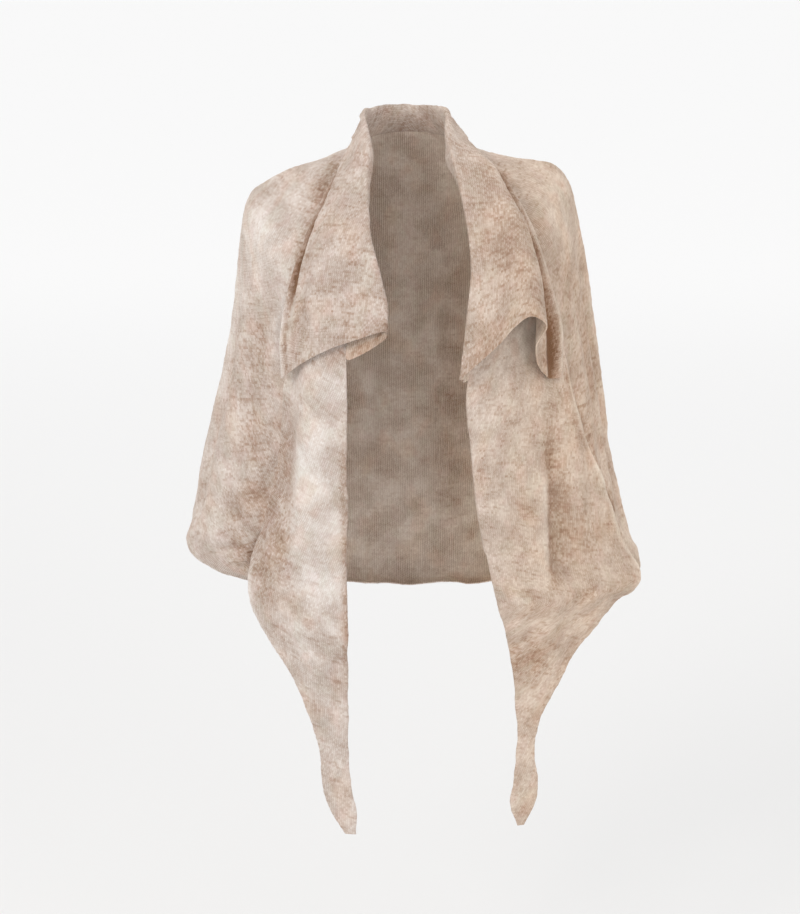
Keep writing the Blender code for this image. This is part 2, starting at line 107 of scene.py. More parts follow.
# Below the slit each front narrows to a tail.
tailSections = {
    "right": (
        (0.306, 0.010, -0.550, 0.086, -0.147, -0.592, 0.146, -0.605, 0.217, 0.206),
        (0.300, 0.004, -0.592, 0.086, -0.146, -0.628, 0.146, -0.632, 0.210, 0.206),
        (0.290, -0.004, -0.640, 0.086, -0.145, -0.668, 0.146, -0.648, 0.184, 0.206),
        (0.280, -0.012, -0.690, 0.086, -0.144, -0.712, 0.146, -0.652, 0.156, 0.206),
        (0.270, -0.020, -0.745, 0.086, -0.143, -0.760, 0.146, -0.652, 0.134, 0.206),
        (0.260, -0.028, -0.800, 0.085, -0.142, -0.808, 0.146, -0.652, 0.120, 0.206),
        (0.250, -0.036, -0.850, 0.083, -0.141, -0.852, 0.146, -0.652, 0.117, 0.206),
        (0.240, -0.040, -0.893, 0.076, -0.140, -0.894, 0.146, -0.652, 0.107, 0.206),
        (0.230, -0.040, -0.930, 0.074, -0.139, -0.930, 0.146, -0.652, 0.087, 0.206),
    ),
    "left": (
        (0.328, 0.010, -0.592, 0.122, -0.146, -0.600, 0.146, -0.605, 0.318, 0.206),
        (0.316, 0.004, -0.612, 0.131, -0.145, -0.632, 0.146, -0.632, 0.283, 0.206),
        (0.310, -0.004, -0.650, 0.139, -0.144, -0.668, 0.146, -0.648, 0.236, 0.206),
        (0.300, -0.012, -0.700, 0.145, -0.143, -0.708, 0.146, -0.652, 0.206, 0.206),
        (0.290, -0.020, -0.752, 0.149, -0.142, -0.756, 0.146, -0.652, 0.178, 0.206),
        (0.280, -0.028, -0.804, 0.150, -0.141, -0.806, 0.146, -0.652, 0.169, 0.206),
        (0.270, -0.036, -0.850, 0.146, -0.140, -0.850, 0.146, -0.652, 0.174, 0.206),
        (0.260, -0.040, -0.886, 0.143, -0.139, -0.886, 0.146, -0.652, 0.172, 0.206),
        (0.250, -0.040, -0.918, 0.151, -0.138, -0.918, 0.146, -0.652, 0.158, 0.206),
    ),
}
# The largest folds, as in the solids: degrees round the body (-90 front, 0 side, 90 back) at the first
# and last section, those sections, half the width in degrees, and how far the fold stands out.
foldColumns = ("fromAngle", "toAngle", "fromSection", "toSection", "halfWidth", "height")
folds = {
    "right": (
        (-60, -64, 5.0, 17.0, 9, 0.008),
        (-46, -46, 3.5, 11.0, 8, -0.013),
        (-22, -26, 4.5, 11.5, 13, 0.008),
        (12, 14, 5.0, 11.5, 10, -0.008),
        (34, 36, 3.5, 12.0, 12, 0.009),
        (58, 54, 5.0, 12.5, 10, -0.010),
        (76, 72, 6.0, 12.5, 9, 0.006),
    ),
    "left": (
        (-56, -53, 6.5, 14.0, 6, 0.009),
        (-45, -44, 6.5, 13.0, 6, -0.009),
        (-30, -20, 2.5, 10.5, 6, 0.006),
        (-8, -6, 4.0, 11.0, 9, -0.009),
        (16, 14, 5.0, 11.5, 11, 0.008),
        (38, 40, 4.0, 12.0, 10, -0.010),
        (60, 62, 4.5, 12.5, 10, 0.009),
        (80, 80, 6.0, 12.5, 8, -0.005),
    ),
}
# Creases of the body, each seen from one side: its two ends (across, up), how far its middle bows
# sideways, half its width and how far it stands out. Across is X from the front and back, Y from a side.
creaseColumns = ("seenFrom", "fromAcross", "fromZ", "toAcross", "toZ", "bow", "width", "height")
creases = (
    ("front", -0.143, -0.064, -0.198, -0.112, 0.006, 0.012, 0.0022),
    ("front", -0.194, -0.130, -0.216, -0.240, -0.008, 0.013, -0.0024),
    ("front", -0.165, -0.237, -0.228, -0.310, 0.009, 0.011, -0.0026),
    ("front", -0.150, -0.294, -0.199, -0.376, 0.010, 0.013, 0.0030),
    ("front", -0.196, -0.368, -0.255, -0.432, 0.010, 0.010, -0.0030),
    ("front", -0.160, -0.388, -0.242, -0.482, 0.014, 0.012, 0.0032),
    ("front", -0.176, -0.446, -0.248, -0.510, 0.010, 0.009, -0.0026),
    ("front", -0.214, -0.496, -0.280, -0.537, 0.006, 0.009, 0.0024),
    ("front", -0.147, -0.303, -0.186, -0.520, -0.006, 0.011, -0.0034),
    ("front", -0.193, -0.444, -0.176, -0.478, -0.005, 0.005, 0.0030),
    ("front", -0.176, -0.474, -0.189, -0.524, -0.004, 0.005, -0.0030),
    ("front", -0.210, -0.570, -0.195, -0.452, 0.004, 0.006, -0.0030),
    ("front", -0.116, -0.300, -0.112, -0.620, 0.006, 0.016, 0.0028),
    ("front", -0.198, -0.648, -0.140, -0.585, 0.008, 0.009, -0.0026),
    ("front", -0.148, -0.719, -0.097, -0.640, 0.008, 0.008, 0.0024),
    ("front", -0.124, -0.784, -0.092, -0.725, 0.005, 0.007, -0.0020),
    ("front", -0.119, -0.864, -0.086, -0.815, 0.004, 0.006, 0.0018),
    ("front", -0.277, -0.528, -0.208, -0.512, 0.004, 0.007, 0.0030),
    ("front", -0.232, -0.533, -0.280, -0.552, 0.003, 0.006, -0.0026),
    ("front", -0.215, -0.534, -0.256, -0.562, 0.003, 0.005, 0.0022),
    ("front", -0.214, -0.552, -0.238, -0.574, 0.002, 0.005, -0.0022),
    ("front", 0.196, -0.280, 0.239, -0.389, 0.003, 0.0045, 0.0036),
    ("front", 0.237, -0.384, 0.271, -0.475, -0.002, 0.0045, 0.0040),
    ("front", 0.269, -0.468, 0.304, -0.556, 0.002, 0.0050, 0.0044),
    ("front", 0.225, -0.080, 0.245, -0.238, -0.003, 0.0050, 0.0030),
    ("front", 0.243, -0.226, 0.258, -0.322, 0.002, 0.0048, 0.0034),
    ("front", 0.257, -0.314, 0.268, -0.410, -0.002, 0.0050, 0.0028),
    ("front", 0.177, -0.400, 0.186, -0.566, 0.004, 0.008, 0.0034),
    ("front", 0.195, -0.440, 0.200, -0.570, 0.003, 0.008, -0.0034),
    ("front", 0.226, -0.594, 0.276, -0.586, 0.004, 0.006, -0.0026),
    ("front", 0.211, -0.622, 0.258, -0.594, 0.004, 0.006, 0.0024),
    ("front", 0.184, -0.722, 0.226, -0.642, 0.006, 0.007, -0.0024),
    ("front", 0.146, -0.530, 0.162, -0.740, 0.005, 0.010, 0.0024),
    ("front", 0.119, -0.350, 0.142, -0.540, -0.006, 0.012, -0.0024),
    ("front", 0.238, -0.411, 0.262, -0.540, 0.004, 0.009, -0.0030),
    ("front", 0.173, -0.798, 0.158, -0.868, 0.003, 0.006, 0.0020),
    ("front", 0.208, -0.300, 0.249, -0.420, 0.005, 0.010, -0.0030),
    ("front", 0.197, -0.102, 0.220, -0.240, 0.005, 0.012, -0.0026),
    ("front", 0.168, -0.058, 0.194, -0.145, 0.005, 0.012, 0.0022),
    ("right", -0.055, -0.120, -0.070, -0.460, 0.010, 0.015, 0.0040),
    ("right", -0.030, -0.200, -0.040, -0.540, -0.008, 0.014, -0.0042),
    ("right", 0.018, -0.090, 0.004, -0.380, 0.010, 0.018, 0.0034),
    ("right", 0.050, -0.160, 0.062, -0.550, -0.012, 0.016, 0.0042),
    ("right", 0.084, -0.230, 0.088, -0.590, 0.008, 0.014, -0.0040),
    ("right", -0.010, -0.490, 0.060, -0.570, 0.010, 0.010, -0.0030),
    ("right", -0.060, -0.470, 0.000, -0.548, 0.008, 0.009, 0.0028),
    ("left", -0.050, -0.110, -0.030, -0.480, -0.010, 0.015, 0.0036),
    ("left", -0.012, -0.180, 0.010, -0.560, 0.010, 0.014, -0.0042),
    ("left", 0.034, -0.080, 0.030, -0.420, -0.008, 0.018, 0.0040),
    ("left", 0.062, -0.210, 0.075, -0.600, 0.012, 0.015, -0.0040),
    ("left", 0.098, -0.150, 0.096, -0.470, -0.006, 0.014, 0.0036),
    ("left", -0.030, -0.520, 0.050, -0.585, 0.010, 0.010, 0.0030),
    ("left", 0.020, -0.470, 0.080, -0.540, 0.008, 0.010, -0.0028),
    ("back", -0.150, -0.090, -0.165, -0.520, -0.010, 0.017, 0.0050),
    ("back", -0.110, -0.160, -0.118, -0.640, 0.010, 0.016, -0.0050),
    ("back", -0.066, -0.070, -0.058, -0.450, -0.010, 0.018, 0.0046),
    ("back", -0.022, -0.130, -0.030, -0.630, 0.008, 0.016, -0.0044),
    ("back", 0.024, -0.080, 0.030, -0.560, -0.008, 0.019, 0.0052),
    ("back", 0.072, -0.150, 0.064, -0.640, 0.012, 0.016, -0.0050),
    ("back", 0.112, -0.090, 0.122, -0.500, -0.008, 0.017, 0.0046),
    ("back", 0.152, -0.190, 0.158, -0.620, 0.010, 0.015, -0.0046),
    ("back", -0.130, -0.560, 0.020, -0.610, 0.016, 0.012, -0.0034),
    ("back", 0.040, -0.590, 0.160, -0.560, -0.012, 0.012, 0.0030),
)

# Pale and dark patches of painted light and shade on the body, laid out like the creases: the paler ones
# paint light, the darker ones the shade of hollows, valleys and undersides. The last value is how much paler
# they are.
paintedLightAndShadeColumns = ("seenFrom", "fromAcross", "fromZ", "toAcross", "toZ", "bow", "width", "tone")
paintedLightAndShade = (
    ("front", -0.180, -0.075, -0.198, -0.190, 0.0, 0.032, 0.60),
    ("front", -0.148, -0.035, -0.108, -0.028, 0.0, 0.016, -0.15),
    ("front", -0.090, -0.008, -0.122, -0.072, 0.0, 0.011, -0.90),
    ("front", -0.116, -0.062, -0.156, -0.160, 0.0, 0.010, -0.80),
    ("front", -0.142, -0.160, -0.152, -0.220, 0.0, 0.008, -0.60),
    ("front", -0.200, -0.300, -0.204, -0.400, 0.0, 0.022, -0.55),
    ("front", -0.162, -0.180, -0.164, -0.290, 0.0, 0.012, 0.70),
    ("front", -0.196, -0.225, -0.200, -0.310, 0.0, 0.014, -0.55),
    ("front", -0.222, -0.170, -0.224, -0.230, 0.0, 0.010, 0.50),
    ("front", -0.100, -0.275, -0.102, -0.325, 0.0, 0.020, 1.00),
    ("front", -0.098, -0.520, -0.100, -0.575, 0.0, 0.014, 0.90),
    ("front", -0.250, -0.548, -0.205, -0.566, 0.0, 0.010, -0.80),
    ("front", -0.164, -0.320, -0.163, -0.520, 0.0, 0.009, -0.50),
    ("front", -0.143, -0.310, -0.142, -0.600, 0.0, 0.010, 0.50),
    ("front", -0.176, -0.490, -0.172, -0.575, 0.0, 0.012, -0.70),
    ("front", -0.130, -0.520, -0.118, -0.600, 0.0, 0.020, 0.35),
    ("front", -0.236, -0.430, -0.232, -0.545, 0.0, 0.018, -0.55),
    ("front", -0.262, -0.360, -0.272, -0.440, 0.0, 0.010, 0.45),
    ("front", -0.156, -0.600, -0.134, -0.710, 0.0, 0.015, 0.45),
    ("front", -0.200, -0.370, -0.188, -0.530, 0.0, 0.022, -0.60),
    ("front", -0.196, -0.520, -0.194, -0.610, 0.0, 0.014, -0.85),
    ("front", -0.128, -0.320, -0.120, -0.550, 0.0, 0.030, 0.65),
    ("front", -0.118, -0.540, -0.112, -0.650, 0.0, 0.024, 0.30),
    ("front", -0.240, -0.340, -0.268, -0.480, 0.0, 0.020, 0.10),
    ("front", -0.246, -0.524, -0.212, -0.542, 0.0, 0.010, -0.90),
    ("front", -0.087, -0.340, -0.086, -0.740, 0.0, 0.0045, -0.90),
    ("front", -0.112, -0.700, -0.100, -0.800, 0.0, 0.014, 0.35),
    ("front", 0.185, -0.045, 0.216, -0.120, 0.0, 0.016, 0.60),
    ("front", 0.112, -0.020, 0.140, -0.085, 0.0, 0.011, -0.80),
    ("front", 0.135, -0.075, 0.172, -0.170, 0.0, 0.010, -0.90),
    ("front", 0.165, -0.165, 0.185, -0.260, 0.0, 0.009, -0.70),
    ("front", 0.218, -0.120, 0.248, -0.340, 0.0, 0.020, -0.25),
    ("front", 0.196, -0.320, 0.205, -0.600, 0.0, 0.018, -0.45),
    ("front", 0.184, -0.340, 0.192, -0.590, 0.0, 0.005, -0.70),
    ("front", 0.100, -0.360, 0.118, -0.480, 0.0, 0.024, -0.10),
    ("front", 0.175, -0.380, 0.184, -0.580, 0.0, 0.004, 0.60),
    ("front", 0.160, -0.205, 0.172, -0.275, 0.0, 0.028, 2.00),
    ("front", 0.146, -0.640, 0.146, -0.710, 0.0, 0.028, -0.60),
    ("front", 0.155, -0.780, 0.152, -0.850, 0.0, 0.014, 0.10),
    ("front", 0.262, -0.590, 0.210, -0.610, 0.0, 0.012, -0.40),
    ("front", 0.206, -0.280, 0.212, -0.335, 0.0, 0.012, -0.55),
    ("front", 0.128, -0.420, 0.134, -0.510, 0.0, 0.016, 0.35),
    ("front", 0.230, -0.470, 0.250, -0.560, 0.0, 0.013, -0.45),
    ("front", 0.168, -0.640, 0.172, -0.690, 0.0, 0.010, -0.35),
    ("right", -0.050, -0.150, -0.060, -0.450, 0.0, 0.030, -0.40),
    ("right", 0.020, -0.080, 0.010, -0.300, 0.0, 0.040, 0.45),
    ("right", 0.070, -0.250, 0.060, -0.520, 0.0, 0.026, -0.55),
    ("left", -0.040, -0.120, -0.020, -0.420, 0.0, 0.032, -0.40),
    ("left", 0.040, -0.100, 0.030, -0.300, 0.0, 0.040, 0.40),
    ("left", 0.080, -0.300, 0.060, -0.560, 0.0, 0.026, -0.50),
    ("back", -0.150, -0.080, -0.170, -0.330, 0.0, 0.040, 0.45),
    ("back", -0.100, -0.240, -0.110, -0.580, 0.0, 0.030, -0.60),
    ("back", -0.020, -0.150, -0.040, -0.420, 0.0, 0.040, 0.40),
    ("back", 0.060, -0.220, 0.050, -0.600, 0.0, 0.030, -0.55),
    ("back", 0.140, -0.100, 0.150, -0.380, 0.0, 0.040, 0.45),
)
# perMetre paints crests paler and troughs darker by the creases' height; collar darkens the whole collar with
# painted shade
paintedShadeAmounts = {"perMetre": 60.0, "collar": -0.34}

# The collar: stations 5 to 0 are the front's sections, -1 to -4 lie round the neckline. roll is the top of
# the rolled fold, free the free edge, and wave how strongly the turned-down part waves. A long valley runs
# inside the free edge: valleyInset is how far inside, and valleyDepth how deep it is.
collarColumns = ("station", "rollX", "rollY", "rollZ", "freeX", "freeY", "freeZ", "wave",
                 "valleyInset", "valleyDepth")
collarStations = {
    "right": (
        (5, 0.029, -0.170, -0.221, 0.166, -0.128, -0.288, 0.0, 0.012, 0.0),
        (4, 0.029, -0.168, -0.186, 0.169, -0.120, -0.238, 0.05, 0.012, 0.0015),
        (3, 0.040, -0.160, -0.144, 0.161, -0.114, -0.189, 0.05, 0.010, 0.004),
        (2, 0.051, -0.142, -0.098, 0.144, -0.102, -0.132, 0.05, 0.011, 0.005),
        (1, 0.056, -0.108, -0.045, 0.118, -0.073, -0.070, 0.03, 0.016, 0.006),
        (0, 0.057, -0.066, 0.006, 0.096, -0.039, -0.031, 0.0, 0.016, 0.007),
        (-1, 0.058, -0.028, 0.035, 0.083, -0.014, -0.006, 0.0, 0.012, 0.004),
        (-2, 0.059, 0.006, 0.045, 0.075, 0.012, 0.004, 0.0, 0.009, 0.001),
        (-3, 0.048, 0.036, 0.045, 0.070, 0.062, 0.001, 0.0, 0.008, 0.0),
        (-4, 0.0, 0.060, 0.048, 0.0, 0.116, -0.030, 0.0, 0.008, 0.0),
    ),
    "left": (
        (5, 0.066, -0.164, -0.284, 0.201, -0.099, -0.295, 1.0, 0.020, 0.005),
        (4, 0.072, -0.168, -0.216, 0.200, -0.091, -0.230, 0.72, 0.023, 0.008),
        (3, 0.079, -0.160, -0.152, 0.185, -0.094, -0.170, 0.48, 0.023, 0.007),
        (2, 0.077, -0.144, -0.096, 0.170, -0.095, -0.119, 0.32, 0.021, 0.007),
        (1, 0.066, -0.110, -0.042, 0.148, -0.070, -0.072, 0.2, 0.022, 0.007),
        (0, 0.053, -0.066, 0.006, 0.118, -0.037, -0.032, 0.1, 0.016, 0.006),
        (-1, 0.049, -0.028, 0.036, 0.092, -0.015, -0.008, 0.0, 0.014, 0.004),
        (-2, 0.047, 0.006, 0.046, 0.079, 0.012, 0.004, 0.0, 0.009, 0.001),
        (-3, 0.040, 0.036, 0.046, 0.072, 0.062, 0.001, 0.0, 0.008, 0.0),
        (-4, 0.0, 0.060, 0.048, 0.0, 0.116, -0.030, 0.0, 0.008, 0.0),
    ),
}
waveColumns = ("along", "outward", "forward", "up")
wavePoints = (
    (0.28, 0.011, 0.024, 0.046),
    (0.42, 0.016, 0.035, 0.074),
    (0.53, 0.023, 0.039, 0.088),
    (0.63, 0.030, 0.032, 0.073),
    (0.76, 0.002, 0.024, 0.046),
    (0.84, -0.006, 0.013, 0.019),
)
collarFold = {"rollRadius": 0.006, "seamRun": 0.007, "lapelBow": 0.011, "standLean": 0.002, "waveEnd": 0.9}


def column(rows, columns, name):
    at = columns.index(name)
    return np.array([row[at] for row in rows], float)


# the smooth curve through evenly spaced values, read at t
def smoothCurve(values, t):
    values = np.asarray(values, float)
    first = 2 * values[:1] - values[1:2]
    last = 2 * values[-1:] - values[-2:-1]
    padded = np.concatenate([first, values, last])
    t = np.asarray(t, float)
    cell = np.clip(np.floor(t).astype(int), 0, len(values) - 2)
    part = t - cell
    if values.ndim > 1:
        part = part.reshape(part.shape + (1,) * (values.ndim - 1))
    a, b, c, d = (padded[cell + i] for i in range(4))
    return b + 0.5 * part * (c - a + part * (2 * a - 5 * b + 4 * c - d + part * (3 * (b - c) + d - a)))


def smoothStep(value, low=0.0, high=1.0):
    part = np.clip((value - low) / (high - low), 0.0, 1.0)
    return part * part * (3 - 2 * part)


def unit(vectors):
    return vectors / np.maximum(np.linalg.norm(vectors, axis=-1, keepdims=True), 1e-12)


# a gentle random field: waves of about that size, running every way
def softNoise(points, size, seed, stretch=(1.0, 1.0, 1.0), waves=22):
    random = np.random.default_rng(seed)
    ways = unit(random.normal(size=(waves, 3))) * random.uniform(0.6, 1.5, (waves, 1))
    ways = ways * (2 * math.pi / size) / np.array(stretch)
    phases = random.uniform(0, 2 * math.pi, waves)
    return np.cos(points @ ways.T + phases).sum(axis=-1) / math.sqrt(waves / 2)


# One half of the garment. Its table of sections gives a point for each section and angle.
class Side:
    def __init__(self, name, lowerRows):
        self.name = name
        self.sign = sideSigns[name]
        rows = bodySections[name] + lowerRows
        self.values = {c: column(rows, sectionColumns, c) for c in sectionColumns}
        self.lastSection = len(rows) - 1

    def size(self, name, t):
        return smoothCurve(self.values[name], t)

    def angleAt(self, across, t):
        return np.degrees(np.arccos(np.clip(across / self.size("sideX", t), 0.0, 1.0)))

    def edgeAngle(self, t):
        return -self.angleAt(self.size("edgeX", t), t)

    def frontSeamAngle(self, t):
        return -self.angleAt(self.size("frontSeam", t), t)

    def backSeamAngle(self, t):
        return self.angleAt(self.size("backSeam", t), t)

    def plainPoint(self, t, angle):
        turn = np.radians(angle)
        sideX, sideY, sideZ = (self.size(n, t) for n in ("sideX", "sideY", "sideZ"))
        away = np.abs(np.sin(turn))
        full = np.sqrt(np.maximum(1.0 - (self.size("edgeX", t) / sideX) ** 2, 1e-6))
        inFront = angle < 0
        depth = np.where(inFront, (self.size("edgeY", t) - sideY) / full, self.size("backY", t) - sideY)
        frontDrop = (self.size("edgeZ", t) - sideZ) * (away / full) ** cloth["slope"]
        backDrop = (self.size("backZ", t) - sideZ) * away ** cloth["slope"]
        drop = np.where(inFront, frontDrop, backDrop)
        return np.stack([self.sign * np.cos(turn) * sideX, sideY + depth * away, sideZ + drop], axis=-1)

    def directions(self, pointAt, t, angle):
        down = pointAt(t + 0.02, angle) - pointAt(np.maximum(t - 0.02, 0.0), angle)
        roundWay = pointAt(t, angle + 0.5) - pointAt(t, angle - 0.5)
        return unit(np.cross(down, roundWay)) * self.sign, roundWay, unit(down)

    def point(self, t, angle):
        plain = self.plainPoint(t, angle)
        height = np.zeros(np.broadcast(t, angle).shape)
        for row in folds[self.name]:
            fold = dict(zip(foldColumns, row))
            first, last = fold["fromSection"], fold["toSection"]
            middle = (fold["fromAngle"] + (fold["toAngle"] - fold["fromAngle"])
                      * np.clip((t - first) / (last - first), 0, 1))
            fade = smoothStep(np.minimum(t - first, last - t), 0.0, 2.4)
            near = np.clip(np.abs(angle - middle) / fold["halfWidth"], 0.0, 1.0)
            height = height + fold["height"] * fade * (0.5 + 0.5 * np.cos(math.pi * near))
        return plain + self.directions(self.plainPoint, t, angle)[0] * height[..., None]

    def moveAlong(self, t, angle, distance):
        perDegree = np.linalg.norm(self.directions(self.point, t, angle)[1], axis=-1)
        return angle + distance / perDegree


fronts = {name: Side(name, tailSections[name]) for name in sideSigns}
hulls = {name: Side(name, pouchSections[name]) for name in sideSigns}


# how far each crease moves the cloth along its outward way, seen from the crease's own side
views = {
    "front": (0, np.array([0.0, -1.0, 0.0])),
    "back": (0, np.array([0.0, 1.0, 0.0])),
    "right": (1, np.array([-1.0, 0.0, 0.0])),
    "left": (1, np.array([1.0, 0.0, 0.0])),
}
unevenness = {"drape": 0.0016, "drapeSize": 0.085, "ripple": 0.0004, "rippleSize": 0.026,
              "lump": 0.0002, "lumpSize": 0.009, "seed": 11}


# a soft stroke drawn on the cloth from one point to another, strongest along its middle line
def strokeShare(points, outward, row):
    axis, facing = views[row["seenFrom"]]
    across = points[..., axis] - row["fromAcross"]
    up = points[..., 2] - row["fromZ"]
    wayAcross = row["toAcross"] - row["fromAcross"]
    wayUp = row["toZ"] - row["fromZ"]
    length = math.hypot(wayAcross, wayUp)
    share = (across * wayAcross + up * wayUp) / length ** 2
    aside = (across * wayUp - up * wayAcross) / length
    aside = aside - row["bow"] * 4 * share * (1 - share)
    soft = max(0.10, 0.7 * row["width"] / length)
    ends = smoothStep(share, -soft, 0.18 + soft) * smoothStep(1 - share, -soft, 0.18 + soft)
    seen = smoothStep(outward @ facing, 0.05, 0.45)
    return ends * seen * np.exp(-(aside / row["width"]) ** 2)


def creaseHeights(points, outward):
    height = np.zeros(points.shape[:-1])
    for row in creases:
        crease = dict(zip(creaseColumns, row))
        height += crease["height"] * strokeShare(points, outward, crease)
    return height


# painted light and shade on the yarn, from the listed patches and from the creases' depth: paler on crests,
# darker in troughs
def paintedBodyShade(points, outward, height):
    tone = np.clip(height * paintedShadeAmounts["perMetre"], -0.5, 0.5)
    for row in paintedLightAndShade:
        patch = dict(zip(paintedLightAndShadeColumns, row))
        tone = tone + patch["tone"] * strokeShare(points, outward, patch)
    return tone


def unevenHeights(points):
    size = unevenness
    drape = softNoise(points, size["drapeSize"], size["seed"], stretch=(1.0, 1.0, 2.6))
    ripple = softNoise(points, size["rippleSize"], size["seed"] + 1, stretch=(1.0, 1.0, 1.7))
    lump = softNoise(points, size["lumpSize"], size["seed"] + 2)
    return size["drape"] * drape + size["ripple"] * ripple + size["lump"] * lump


# The seam between a front and its sleeve shows as a fine crest, paler with a painted highlight, and lower
# down as the dark slit beside it, darkened with painted shade.
seamColumns = ("piece", "fromSection", "toSection", "width", "height", "tone")
seamHighlightAndShade = (
    ("leftFront", 5.6, 11.2, 0.0024, 0.0012, 1.10),
    ("leftSleeve", 5.6, 9.0, 0.0024, 0.0012, 0.20),
    ("leftSleeve", 6.5, 10.9, 0.0120, 0.0, -0.80),
    ("leftSleeve", 8.7, 11.2, 0.0160, 0.0, -2.60),
    ("rightFront", 9.6, 13.0, 0.0030, 0.0, 0.90),
    ("rightSleeve", 9.0, 11.0, 0.0070, 0.0, -1.20),
)


# how high the seam's line makes the cloth, and its painted highlight and shade, from the distance to the seam
def seamShares(name, t, fromSeam):
    height, tone = np.zeros(fromSeam.shape), np.zeros(fromSeam.shape)
    for row in seamHighlightAndShade:
        line = dict(zip(seamColumns, row))
        if line["piece"] != name:
            continue
        ends = smoothStep(t, line["fromSection"], line["fromSection"] + 0.9)
        ends = ends * smoothStep(line["toSection"] - t, 0.0, 0.6)
        share = ends[:, None] * np.exp(-(fromSeam / line["width"]) ** 2)
        height += line["height"] * share
        tone += line["tone"] * share
    return height, tone


def slitLean(side, t, angle):
    opened = smoothStep(t, slit["top"], slit["top"] + 1)
    near = np.clip(1.0 - (angle - side.frontSeamAngle(t)) / slit["reach"], 0.0, 1.0)
    outward = side.directions(side.point, np.full_like(t, slit["top"]), angle)[0]
    return outward * (-slit["gap"] * opened * near * near)[..., None]


# outward normals of a grid of points, whose rows run down and whose columns run across
def gridNormals(points, like):
    down = np.gradient(points, axis=0)
    across = np.gradient(points, axis=1)
    normals = unit(np.cross(down, across))
    middle = (points.shape[0] // 2, points.shape[1] // 2)
    return normals * (1.0 if np.dot(normals[middle], like[middle]) > 0 else -1.0)


# The cut edge of a knit curls under. These are the extra columns of one edge, from the cloth outward.
curl = {"radius": 0.0021, "turn": 205, "steps": 7, "seed": 5}


def curlColumns(edge, beside, normals, radiusShare):
    way = unit(edge - beside)
    way = unit(way - normals * (way * normals).sum(axis=-1, keepdims=True))
    wobble = 1.0 + 0.22 * softNoise(edge, 0.045, curl["seed"])
    radius = (curl["radius"] * np.clip(wobble, 0.6, 1.5) * radiusShare)[:, None]
    points, outs = [], []
    for i in range(1, curl["steps"] + 1):
        turn = math.radians(curl["turn"]) * i / curl["steps"]
        points.append(edge + way * radius * math.sin(turn) - normals * radius * (1 - math.cos(turn)))
        outs.append(unit(normals * math.cos(turn) + way * math.sin(turn)))
    return points, outs


def withCurl(points, normals, firstShare=None, lastShare=None):
    columns = [points[:, j] for j in range(points.shape[1])]
    outs = [normals[:, j] for j in range(points.shape[1])]
    if firstShare is not None:
        more, moreOuts = curlColumns(columns[0], columns[1], outs[0], firstShare)
        columns = more[::-1] + columns
        outs = moreOuts[::-1] + outs
    if lastShare is not None:
        more, moreOuts = curlColumns(columns[-1], columns[-2], outs[-1], lastShare)
        columns = columns + more
        outs = outs + moreOuts
    return np.stack(columns, axis=1), np.stack(outs, axis=1)


# distances along the cloth, as the knit's own coordinates
def knitCoordinates(points, turn, offset):
    across = np.linalg.norm(np.diff(points, axis=1), axis=-1)
    along = np.linalg.norm(np.diff(points, axis=0), axis=-1)
    u = np.concatenate([np.zeros((points.shape[0], 1)), np.cumsum(across, axis=1)], axis=1)
    u -= u[:, u.shape[1] // 2][:, None]
    v = np.concatenate([np.zeros((1, points.shape[1])), np.cumsum(along, axis=0)], axis=0)
    v = v.mean(axis=1, keepdims=True) * np.ones((1, points.shape[1]))
    c, s = math.cos(math.radians(turn)), math.sin(math.radians(turn))
    return u * c + v * s + offset, v * c - u * s + offset


# a warm tint painted as shade on the left side of the garment, which is turned from the light
shadedSideWarmth = {"from": -0.02, "to": 0.22, "share": 0.85, "tint": (253, 242, 227)}


